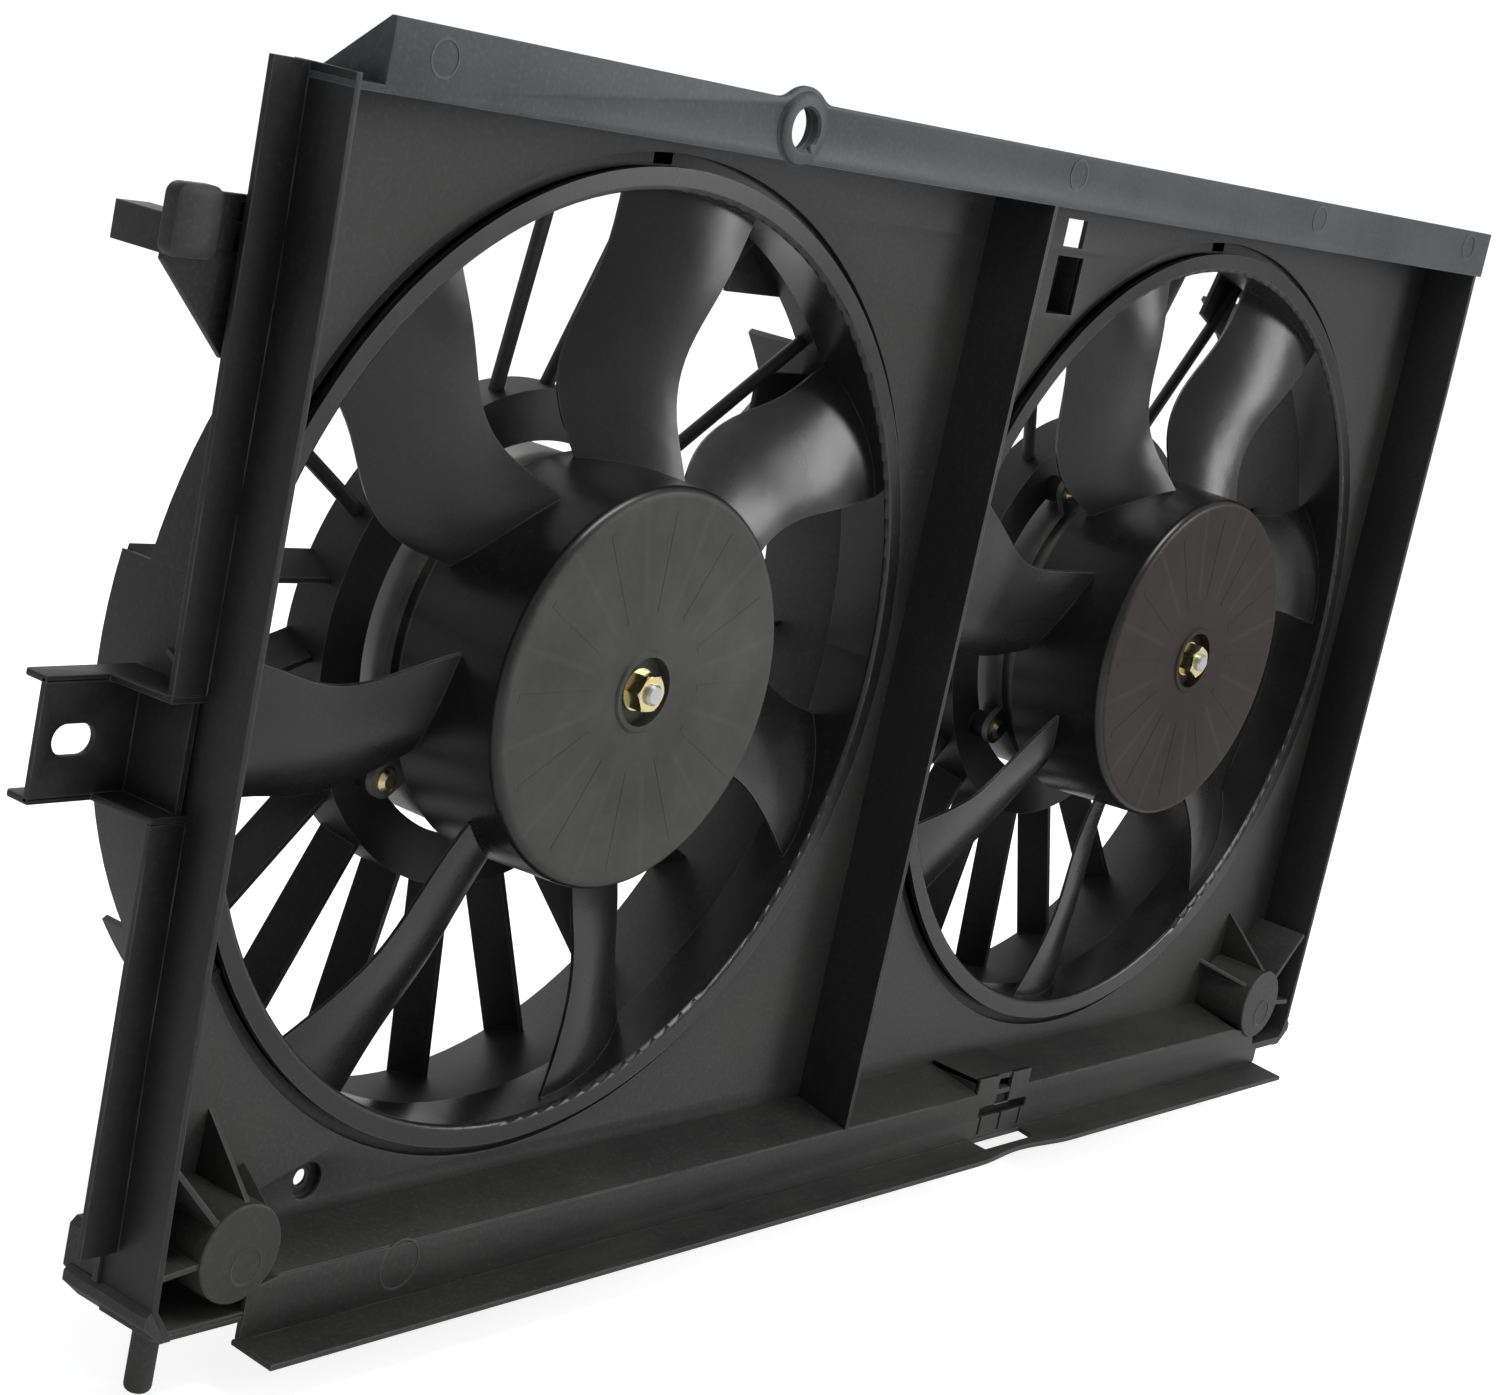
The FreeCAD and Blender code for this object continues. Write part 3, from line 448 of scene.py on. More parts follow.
cup_profile = [
    (cup_radius, plate_front + lap),
    (cup_radius + sheet, plate_front + lap),
    (cup_radius + sheet, cup_back),
    (screw_hole, cup_back),
    (screw_hole, cup_floor),
    (cup_radius, cup_floor),
]
arm_outline = [(-214, -50), (-254, -50), (-256, -52), (-257.5, -72), (-228, -100.5), (-214, -102)]
arm_window_left, arm_window_right = -230.4, -221.0
arm_window_height = 6.2
arm_windows = [
    rectangle(arm_window_left, arm_window_right, top - arm_window_height, top) for top in (-52.3, -61.8)
]
arm_backing = rectangle(-234, -213, -72, -51.5)
arm_backing_front, arm_backing_rear = plate_front + 5, plate_front + 7

box_left, box_right = pocket_left - sheet, pocket_right + sheet
box_low, box_high = pocket_low - sheet, pocket_high + sheet
pocket_floor = plate_front + pocket_depth
pocket_walls = [
    rectangle(box_left, pocket_left, box_low, box_high),
    rectangle(pocket_right, box_right, box_low, box_high),
    rectangle(pocket_left - lap, pocket_right + lap, box_low, pocket_low),
    rectangle(pocket_left - lap, pocket_right + lap, pocket_high, box_high),
]
plate_parts = [
    plate_mesh(plate_outline, plate_front, plate_back, holes=plate_holes),
    plate_mesh(arm_outline, plate_front, plate_back, holes=arm_windows),
    plate_mesh(arm_backing, arm_backing_front, arm_backing_rear, rim=thin_rim),
    plate_mesh(rectangle(box_left, box_right, box_low, box_high), pocket_floor, pocket_floor + sheet),
    lathe_mesh(cup_profile, screw_x, screw_z, 48),
]
for wall in pocket_walls:
    plate_parts.append(plate_mesh(wall, plate_front + lap, pocket_floor + lap, rim=thin_rim))
moulded_piece("shroud_plate_skin", plate_parts, shroud_black, "shroud_plastic", "shroud", "shroud_plate")

# Tray walls
# Thin walls of the same moulding that stand forward from the plate: one down each side and a divider
# between the openings. The left one leans in to its foot and has a flange, broken at the bracket.
wall_top = -7.0
wall_bend = -411.0
wall_foot = -421.5
flange_front = 22.5
flange_inner = -215.0
flange_edge = -230.2
flange_bottom = -398.0
bracket_top = -206.8
bracket_bottom = -249.0
upper_flange = [
    (flange_inner, wall_top),
    (-233.4, wall_top),
    (-232.6, -48),
    (-232.2, -100),
    (flange_edge, bracket_top),
    (flange_inner, bracket_top),
]
lower_flange = [
    (flange_inner, bracket_bottom),
    (flange_edge, bracket_bottom),
    (-228.6, flange_bottom),
    (-211, flange_bottom),
]
left_wall_line = [(-218.5, wall_top), (-216.5, -75), (-216.2, -202), (-214.8, -329)]
left_wall_line += [(-212.5, wall_bend), (-205, wall_foot)]
left_wall_outline = left_wall_line + [(x + sheet, z) for x, z in reversed(left_wall_line)]
# The left wall and its flange wear the darker copy of the plastic, whose darkness is painted shade.
moulded_piece(
    "left_side_wall_skin",
    [
        plate_mesh(left_wall_outline, rim_front, plate_front + lap),
        plate_mesh(upper_flange, flange_front, flange_front + sheet),
        plate_mesh(lower_flange, flange_front, flange_front + sheet),
    ],
    painted_shade_black, "shroud_plastic", "shroud", "left_side_wall",
)
right_wall_front = rim_front + 0.4
right_wall_line = [(570, wall_top), (571.5, -75), (571.5, -330), (571, wall_bend), (568, wall_foot)]
right_wall_outline = right_wall_line + [(x - sheet, z) for x, z in reversed(right_wall_line)]
# The right wall wears the darker copy of the plastic, whose darkness is painted shade.
moulded_piece(
    "right_side_wall_skin",
    [plate_mesh(right_wall_outline, right_wall_front, plate_front + lap)],
    painted_shade_black, "shroud_plastic", "shroud", "right_side_wall",
)
divider_x = 171.5
divider_root, divider_tip = 1.6, 1.1
divider_low, divider_high = -409.0, -11.8
divider_lean = 2.6
lean_height = 400.0
divider_outline = [
    (divider_x - divider_root, plate_front + lap),
    (divider_x - divider_tip, rim_front),
    (divider_x + divider_tip, rim_front),
    (divider_x + divider_root, plate_front + lap),
]
divider = plate_mesh(divider_outline, divider_low, divider_high, along="z")
for vertex in divider.vertices:
    forward = (plate_front - vertex.co.y) / (plate_front - rim_front)
    raised = (vertex.co.z - divider_low) / lean_height
    vertex.co.x += divider_lean * forward * raised
# The divider wears the darker copy of the plastic, whose darkness is painted shade.
moulded_piece("centre_divider_skin", [divider], painted_shade_black, "shroud_plastic", "shroud", "centre_divider")

# Top rail
# An angle along the tray's top edge: a sloped web back to the plate and a face that stands up, closed
# by a triangular cap at each end. The round ear blends into the face and takes the upper screw.
rail_low = -12.0
rail_high = 9.6
rail_left = -206.0
rail_right = 575.0
rail_rise = 1.8
rise_start = -30.0
rail_web_left = -218.5
rail_web_front = rim_front + 0.3
cap_front = rim_front + 0.4
cap_rim = 2.1
cap_splay = 0.06
ear_middle = -1.4
ear_radius = 16.2
neck_radius = 12.0
ear_hole = 7.5


def ear_outline():
    """The rail's face with the ear's bump above it, blended by two hollow curves."""
    neck_z = rail_high + neck_radius
    reach = math.sqrt((ear_radius + neck_radius) ** 2 - (neck_z - ear_middle) ** 2)
    meet = math.degrees(math.atan2(neck_z - ear_middle, reach))
    crown = arc_points(0, ear_middle, ear_radius, 180 - meet, meet, 24)
    left_neck = arc_points(-reach, neck_z, neck_radius, -90, -meet, 7)
    right_neck = arc_points(reach, neck_z, neck_radius, 180 + meet, 270, 7)
    start = [(rail_left, rail_low), (rail_left, rail_high)]
    end = [(rail_right, rail_high), (rail_right, rail_low)]
    return start + left_neck + crown + right_neck + end


web_profile = [
    (rail_web_front, rail_low),
    (rail_web_front, rail_low + sheet),
    (plate_back, plate_top),
    (plate_back, rail_low),
]
cap_profile = [
    (cap_front, rail_low),
    (cap_front, rail_high),
    (cap_front + cap_rim, rail_high),
    (plate_back, plate_top),
    (plate_back, rail_low),
]
left_cap = plate_mesh(cap_profile, rail_left, rail_left + sheet, along="x")
right_cap = plate_mesh(cap_profile, rail_right - sheet, rail_right, along="x")
for vertex in left_cap.vertices:
    vertex.co.x -= (vertex.co.y - rim_front) * cap_splay
ear_mouth = ring_points(0, 0, ear_hole)
rail_face = plate_mesh(ear_outline(), rim_front, rim_front + sheet, holes=[ear_mouth], rim=0.6)
for vertex in (*rail_face.vertices, *left_cap.vertices):
    if vertex.co.x < rise_start and vertex.co.z > 0:
        vertex.co.z += rail_rise * (rise_start - vertex.co.x) / (rise_start - rail_left)
ear_ring_profile = [
    (ear_hole, 0.8),
    (ear_hole + 0.8, 0),
    (ear_hole + 4.0, 0),
    (ear_hole + 5.0, 0.5),
    (ear_hole + 6.0, rim_front + 0.5),
    (ear_hole, rim_front + 1),
]
ear_sleeve_profile = rectangle(ear_hole + 1.2, ear_hole + 3, 4, 7.5)
top_rail_parts = [
    rail_face,
    plate_mesh(web_profile, rail_web_left, rail_right, along="x"),
    left_cap,
    right_cap,
    lathe_mesh(ear_ring_profile, 0, 0, 64),
    lathe_mesh(ear_sleeve_profile, 0, 0, 48),
]
mark_height = 0.25
mark_root = 0.2


def ejector_mark(radius, half_line, face, centre_x, centre_z, steps):
    """The faint raised ring that an ejector pin leaves on a face."""
    profile = rectangle(radius - half_line, radius + half_line, face - mark_height, face + mark_root)
    return lathe_mesh(profile, centre_x, centre_z, steps)


rail_mark_height = 1.5
for x in (-183.0, 185.0, 393.0, 552.0):
    top_rail_parts.append(ejector_mark(6.0, 0.35, rim_front, x, rail_mark_height, 40))
nib_radius = 1.8
nib_x, nib_z = 5.0, -6.4
nib_profile = [(0, -0.7), (nib_radius - 0.5, -0.7), (nib_radius, -0.2), (nib_radius, 1), (0, 1)]
top_rail_parts.append(lathe_mesh(nib_profile, nib_x, nib_z, 20))
# The rail wears the paler finish whose colour holds painted sheen as well as dust.
moulded_piece("top_rail_skin", top_rail_parts, rail_dust_and_painted_sheen, "shroud_plastic", "shroud", "top_rail")

# Tray floor and bottom rail
# The floor slopes forward and drops in a soft ramp to each corner. A clip block with a grooved front
# stands across it, and the rail below turns forward into a lip that dips back at the clip's window.
floor_back = -403.0
floor_front = -408.3
corner_floor = -419.5
floor_rim = rim_front + 0.4
ramp_left = (-171.0, -154.0)
ramp_right = (511.0, 528.0)
ramp_steps = 8
slope_fade = 8.0


def ramp_points(start_x, end_x, start_z, end_z):
    """A soft S-shaped ramp."""
    shares = [index / ramp_steps for index in range(ramp_steps + 1)]
    eased = [(1 - math.cos(math.pi * share)) / 2 for share in shares]
    return [(start_x + (end_x - start_x) * s, start_z + (end_z - start_z) * e) for s, e in zip(shares, eased)]


def floor_line(drop):
    """The floor's top edge from left to right, lowered by a drop."""
    line = [(-210, corner_floor - drop)]
    line += ramp_points(*ramp_left, corner_floor - drop, floor_front - drop)
    line += ramp_points(*ramp_right, floor_front - drop, corner_floor - drop)
    return line + [(565, corner_floor - drop)]


floor = plate_mesh(floor_line(0) + floor_line(sheet)[::-1], floor_rim, plate_front + lap)
for vertex in floor.vertices:
    lift = (floor_back - floor_front) * (vertex.co.y - rim_front) / (plate_front - rim_front)
    between = min(1.0, max(0.0, (vertex.co.z - corner_floor + sheet) / slope_fade))
    vertex.co.z += lift * between
clip_left, clip_right = 272.5, 315.0
clip_top, clip_foot = -401.0, -409.0
clip_front = rim_front + 1
cheek_top = clip_top - 0.5
clip_walls = [
    rectangle(clip_left, clip_right, clip_top - sheet, clip_top),
    rectangle(clip_left, clip_left + sheet, clip_foot, cheek_top),
    rectangle(clip_right - sheet, clip_right, clip_foot, cheek_top),
]
floor_parts = [floor] + [plate_mesh(wall, clip_front, plate_front + lap) for wall in clip_walls]
moulded_piece("tray_floor_skin", floor_parts, shroud_black, "shroud_plastic", "shroud", "tray_floor")

face_left, face_right = -170.5, 541.0
face_low = -430.0
face_top = floor_front - 0.5
shoulder_height = -410.6
groove_left, groove_right, groove_low = 289.0, 300.0, -415.0
face_outline = [
    (face_left, face_low),
    (face_left, -413.0),
    (-166, shoulder_height),
    (-155, face_top),
    (clip_left, floor_front),
    (clip_left, clip_top),
    (groove_left, clip_top),
    (groove_left, groove_low),
    (groove_right, groove_low),
    (groove_right, clip_top),
    (clip_right, clip_top),
    (clip_right, floor_front),
    (512, face_top),
    (524, shoulder_height),
    (face_right - 8, -414),
    (face_right - 6, -420),
    (face_right, -423),
    (face_right, face_low),
]
slot_left, slot_right = 277.0, 316.0
slot_high, slot_low = -415.3, -420.0
slit_low = -428.5
slit_half = 0.8
slot_outline = [(slot_left, slot_low), (slot_left, slot_high)]
slot_outline += [(slot_right, slot_high), (slot_right, slot_low)]
for x in (312.5, 296.0, 279.5):
    slot_outline += [(x + slit_half, slot_low), (x + slit_half, slit_low)]
    slot_outline += [(x - slit_half, slit_low), (x - slit_half, slot_low)]
lip_front = -17.0
lip_root = rim_front + sheet
dip_middle, dip_width, dip_depth = 294.0, 78.0, 3.5
dip_steps = 12
dip = [
    (dip_middle - dip_width / 2 + dip_width * k / dip_steps,
     lip_front + dip_depth * math.sin(math.pi * k / dip_steps) ** 2)
    for k in range(dip_steps + 1)
]
lip_outline = [
    (face_left - 1, lip_root),
    (face_left - 2.5, lip_front),
    *dip,
    (face_right - 5, lip_front),
    (face_right, lip_root),
]
lip_hole_front, lip_hole_back = -8.0, rim_front - 0.4
lip_hole = [
    (clip_left, lip_hole_front),
    (clip_right - 3, lip_hole_front),
    (clip_right, lip_hole_back),
    (clip_left + 1, lip_hole_back),
]
clip_backing = rectangle(clip_left + 1, clip_right + 12, -429, clip_top - 8)
backing_front, backing_rear = rim_front + 6, rim_front + 8
moulded_piece(
    "bottom_rail_skin",
    [
        plate_mesh(face_outline, rim_front, rim_front + sheet, holes=[slot_outline]),
        plate_mesh(lip_outline, face_low - sheet, face_low, along="z", holes=[lip_hole], rim=0.7),
        ejector_mark(9.55, 0.35, rim_front, -97.0, -416.5, 40),
        plate_mesh(clip_backing, backing_front, backing_rear),
    ],
    shroud_black, "shroud_plastic", "shroud", "bottom_rail",
)

# Corner feet
# Each lower corner is a foot: a skirt that slopes in below the wall, a pad, a hollow block behind the
# plate, and a round nosed pin that drops into the radiator's rubber bush.
pin_radius = 4.8
pin_nose = 2.5
pin_low = -447.5
pin_depth = 16.0
nose_steps = 5
skirt_front, skirt_rear = rim_front + 0.3, 45.0
pad_front = rim_front + 0.2
block_rear = 48.5


def pin_mesh(x, y):
    """A nosed pin along Z, turned about its own axis."""
    tip = pin_low - corner_under
    turns = [math.pi / 2 * step / nose_steps for step in range(nose_steps + 1)]
    nose = [
        (pin_radius - pin_nose + pin_nose * math.cos(turn), tip + pin_nose - pin_nose * math.sin(turn))
        for turn in turns
    ]
    mesh = lathe_mesh([(0, 0), (pin_radius, 0), *nose, (0, tip)], 0, 0, 40)
    for vertex in mesh.vertices:
        across, depth, other = vertex.co
        vertex.co = (x + across, y + other, corner_under + depth)
    return mesh


def placed(points, flip, shift):
    """A left foot's outline, or its mirror image at the right."""
    return [(shift + flip * x, z) for x, z in points]


left_skirt = [
    (-212.5, -411),
    (-214.5, -413),
    (-214.5, -416.5),
    (-206.5, -423.5),
    (-202, -423.5),
    (-202, -420.5),
    (-205, -420.5),
    (-209.5, -415),
    (-210, -411),
]
left_block = [(-212, -413), (-212, -398), (-209.5, -395.5), (-190, -395.5), (-190, -421), (-204, -421)]
left_pad = rectangle(-205, -171, -423, -421)
for side, flip, shift, pin_x in (("left", 1, 0.0, -200.0), ("right", -1, 358.5, 546.5)):
    moulded_piece(
        side + "_corner_foot_skin",
        [
            plate_mesh(placed(left_skirt, flip, shift), skirt_front, skirt_rear),
            plate_mesh(placed(left_block, flip, shift), plate_front + lap, block_rear),
            plate_mesh(placed(left_pad, flip, shift), pad_front, plate_back, rim=thin_rim),
            pin_mesh(pin_x, pin_depth),
        ],
        shroud_black, "shroud_plastic", "shroud", side + "_corner_foot",
    )

# Corner bosses
# A round stud on the plate in each lower corner, tied by thin ribs to the side wall and by two tapered
# ribs to the plate. The ejector pin has left a faint ring on its face.
boss_radius = 18.0
boss_front = 1.0
boss_height = -396.5
rib_front = rim_front + 0.2
rib_root = boss_radius - 1
rib_half = 1.1
stud_profile = [
    (0, boss_front),
    (boss_radius - 0.8, boss_front),
    (boss_radius - 0.2, boss_front + 0.4),
    (boss_radius, boss_front + 1.2),
    (boss_radius, plate_front + lap),
    (0, plate_front + lap),
]
wall_ribs = ((134.5, 49.0), (185.0, 34.0))
plate_ribs = ((87.0, 42.0), (37.0, 29.0))


def rib_mesh(angle, profile, centre_x, centre_z, flip):
    """A thin rib that stands on the plate and runs out from a centre at an angle."""
    mesh = plate_mesh(profile, -rib_half, rib_half, along="z", rim=thin_rim)
    turn = math.radians(angle)
    for vertex in mesh.vertices:
        along, y, across = vertex.co
        x = along * math.cos(turn) - across * math.sin(turn)
        z = along * math.sin(turn) + across * math.cos(turn)
        vertex.co = (centre_x + flip * x, y, centre_z + z)
    return mesh


for side, boss_x, flip, shortened in (("left", -177.8, 1, 0.0), ("right", 530.7, -1, 1.5)):
    boss_parts = [
        lathe_mesh(stud_profile, boss_x, boss_height, 72),
        ejector_mark(6.65, 0.25, boss_front, boss_x + 3.0, boss_height - 5.0, 32),
    ]
    for angle, reach in wall_ribs:
        wall_rib = [
            (rib_root, rib_front),
            (reach - shortened, rib_front),
            (reach - shortened, plate_front + lap),
            (rib_root, plate_front + lap),
        ]
        boss_parts.append(rib_mesh(angle, wall_rib, boss_x, boss_height, flip))
    for angle, reach in plate_ribs:
        plate_rib = [(rib_root, rib_front), (reach, plate_front + 0.5), (rib_root, plate_front + lap)]
        boss_parts.append(rib_mesh(angle, plate_rib, boss_x, boss_height, flip))
    moulded_piece(
        side + "_corner_boss_skin",
        boss_parts,
        shroud_black, "shroud_plastic", "shroud", side + "_corner_boss",
    )

# Side bracket
# A channel behind the left flange: a web set back from it with a level slot for the screw, and two
# walls whose rear tips are rounded.
bracket_left = -258.0
bracket_inner = -213.0
bracket_web = 49.5
bracket_rear = 60.5
bracket_corner = 1.6
corner_steps = 4
slot_x, slot_z = -243.3, -228.2
slot_half_width, slot_run = 5.2, 3.2
corner_turns = [math.pi / 2 * step / corner_steps for step in range(corner_steps + 1)]
bracket_tip = [
    (bracket_left + bracket_corner - bracket_corner * math.sin(turn),
     bracket_rear - bracket_corner + bracket_corner * math.cos(turn))
    for turn in corner_turns
]
bracket_wall = [
    (bracket_inner, bracket_rear),
    *bracket_tip,
    (bracket_left, bracket_web),
    (-232.5, bracket_web),
    (flange_edge, flange_front + 2),
    (flange_edge, flange_front),
    (bracket_inner, flange_front),
]
bracket_floor = rectangle(bracket_left, -214, bracket_bottom + 1, bracket_top - 1)
bracket_end = rectangle(-219.5, -217, 24, bracket_rear)
slot_points = arc_points(slot_x + slot_run, slot_z, slot_half_width, -90, 90, 12)
slot_points += arc_points(slot_x - slot_run, slot_z, slot_half_width, 90, 270, 12)
# The bracket wears the darker copy of the plastic, whose darkness is painted shade.
moulded_piece(
    "side_bracket_skin",
    [
        plate_mesh(bracket_wall, bracket_top - sheet, bracket_top, along="z", rim=0.6),
        plate_mesh(bracket_wall, bracket_bottom, bracket_bottom + sheet, along="z", rim=0.6),
        plate_mesh(bracket_floor, bracket_web, bracket_web + sheet, holes=[slot_points], rim=0.6),
        plate_mesh(bracket_end, bracket_bottom + 1, bracket_top - 1, along="z"),
    ],
    painted_shade_black, "shroud_plastic", "shroud", "side_bracket",
)

# Harness connector
# A rounded block on the arm whose hollow shank opens to the rear, where the engine's harness plugs in.
# It is of the same black plastic as the shroud.
block_left, block_right, block_low, block_high = -261.0, -242.5, -70.5, -48.0
block_front = 22.5
block_corner = 4.0
block_sides = (block_left + block_corner, block_right - block_corner)
block_levels = (block_low + block_corner, block_high - block_corner)
shank_x, shank_z = -250.0, -64.5
shank_half_width, shank_half_height, shank_rear = 6.5, 6.0, 55.5
shank_wall = 1.8
block_outline = arc_points(block_sides[1], block_levels[1], block_corner, 0, 90, 7)
block_outline += arc_points(block_sides[0], block_levels[1], block_corner, 90, 180, 7)
block_outline += arc_points(block_sides[0], block_levels[0], block_corner, 180, 270, 7)
block_outline += arc_points(block_sides[1], block_levels[0], block_corner, 270, 360, 7)


def shank_section(inset):
    """The shank's outline, drawn in by an inset."""
    half_width = shank_half_width - inset
    half_height = shank_half_height - inset
    return rectangle(shank_x - half_width, shank_x + half_width, shank_z - half_height, shank_z + half_height)


shank_outline, shank_mouth = shank_section(0), shank_section(shank_wall)
moulded_piece(
    "harness_connector_skin",
    [
        plate_mesh(block_outline, block_front, plate_front + 0.5, rim=1.4),
        plate_mesh(shank_outline, plate_front + 0.3, shank_rear, holes=[shank_mouth], rim=0.8),
    ],
    shroud_black, "connector_plastic", "shroud", "harness_connector",
)

# Air ducts
# A stepped barrel behind each opening, shallow across the top where the tie rods cross it. Small
# gussets stiffen its left side, and a slot pierces its flange at the top.
duct_inner = 182.0
duct_outer = 184.5
duct_zones = {
    "left": ((41, 82, 38.0), (96, 170, 38.0), (170, 214, 52.0), (214, 401, 64.0)),
    "right": ((59, 82, 38.0), (96, 170, 38.0), (170, 214, 52.0), (214, 419, 64.0)),
}
zone_step = 3
duct_flange_radius = 190.0
duct_slot_inner, duct_slot_outer = 185.0, 189.2
duct_slot_start, duct_slot_end = 91.55, 94.45
gusset_angles = (178.0, 203.0, 213.0)
gusset_root = duct_outer - 1
gusset_tip = duct_outer + 11
gusset_front, gusset_rear = plate_front + 2, plate_front + 22
gusset_profile = [(gusset_root, gusset_front), (gusset_tip, gusset_front), (gusset_root, gusset_rear)]
for side, axis_x in (("left", left_axis), ("right", right_axis)):
    duct_parts = []
    for start, end, depth in duct_zones[side]:
        count = int((end - start) / zone_step) + 2
        outline = arc_points(axis_x, axis_height, duct_outer, start, end, count)
        outline += arc_points(axis_x, axis_height, duct_inner, end, start, count)
        duct_parts.append(plate_mesh(outline, plate_back, plate_front + depth))
    flange_rim = ring_points(axis_x, axis_height, duct_flange_radius, opening_steps)
    flange_mouth = ring_points(axis_x, axis_height, duct_inner, opening_steps)
    flange_slot = arc_points(axis_x, axis_height, duct_slot_outer, duct_slot_start, duct_slot_end, 5)
    flange_slot += arc_points(axis_x, axis_height, duct_slot_inner, duct_slot_end, duct_slot_start, 5)
    flange_holes = [flange_mouth, flange_slot]
    duct_parts.append(plate_mesh(flange_rim, plate_back, plate_back + sheet, holes=flange_holes))
    for angle in gusset_angles:
        duct_parts.append(rib_mesh(angle, gusset_profile, axis_x, axis_height, 1))
    moulded_piece(
        side + "_air_duct_skin",
        duct_parts,
        shroud_black, "shroud_plastic", "shroud", side + "_air_duct",
    )

# Motor ring, guide vanes and tie rods
# The motor hangs in a shallow ring behind the fan. Flat skewed vanes hold the ring from below and the
# sides, and round rods take their place across the top, where square tabs stiffen the duct.


def dress(node, finish):
    """Gives a CAD node its finish."""
    mesh = nodes[node].data
    mesh.materials.clear()
    mesh.materials.append(finish)


# The motor rings and guide vanes wear the darker copy of the plastic, whose darkness is painted shade.
for side in ("left", "right"):
    dress(side + "_motor_ring", painted_shade_black)
    dress(side + "_guide_vanes", painted_shade_black)

rod_radius = 2.8
rod_inner, rod_outer = 95.0, duct_inner + 1
rod_inner_depth, rod_outer_depth = plate_front + 47, plate_front + 34.5
rod_angles = {
    "left": ((42.5, 42.0), (66.0, 61.0), (88.5, 82.5), (104.6, 98.2), (127.0, 123.0), (150.5, 150.0)),
    "right": ((69.0, 66.0), (88.5, 82.5), (104.6, 98.2), (127.0, 123.0), (150.5, 150.0)),
}
tab_front, tab_rear = plate_front + 37.5, plate_front + 40
left_tabs = [
    [(90, -120)] + arc_points(left_axis, axis_height, rod_outer, 28.0, 36.2, 6) + [(90, -98)],
    [(58.5, -68)] + arc_points(left_axis, axis_height, rod_outer, 48.9, 62.2, 8),
]
right_tab_turn = math.radians(67.0)
right_tab_inner = 160.0
right_tab_low, right_tab_high = -13.0, 11.0
right_tabs = [[
    (right_axis + r * math.cos(right_tab_turn) - t * math.sin(right_tab_turn),
     axis_height + r * math.sin(right_tab_turn) + t * math.cos(right_tab_turn))
    for r, t in rectangle(right_tab_inner, rod_outer, right_tab_low, right_tab_high)
]]
tabs = {"left": left_tabs, "right": right_tabs}


def rod_mesh(start, end, radius, sides=20):
    """A round bar between two points."""
    reach = (end - start).length
    mesh = lathe_mesh([(0, 0), (radius, 0), (radius, reach), (0, reach)], 0, 0, sides)
    turn = Vector((0, 1, 0)).rotation_difference(end - start)
    for vertex in mesh.vertices:
        vertex.co = start + turn @ vertex.co
    return mesh


def place_at(axis_x, radius, angle, y):
    """The point at a radius and an angle about a fan's axis."""
    turn = math.radians(angle)
    return Vector((axis_x + radius * math.cos(turn), y, axis_height + radius * math.sin(turn)))


for side, axis_x in (("left", left_axis), ("right", right_axis)):
    rods = []
    for inner, outer in rod_angles[side]:
        near = place_at(axis_x, rod_inner, inner, rod_inner_depth)
        far = place_at(axis_x, rod_outer, outer, rod_outer_depth)
        rods.append(rod_mesh(near, far, rod_radius))
    for tab in tabs[side]:
        rods.append(plate_mesh(tab, tab_front, tab_rear))
    moulded_piece(side + "_tie_rods_skin", rods, shroud_black, "shroud_plastic", "shroud", side + "_tie_rods")

# Fans
# Each fan is one moulding of glass-filled nylon, satin on the blades and band. The hub's face is
# duller, paler and a little dusty, and twelve flow lines run out across it as faint raised rays.
flow_lines = 12
hub_face_radius = 0.0735
hub_zone_depth = 0.0012


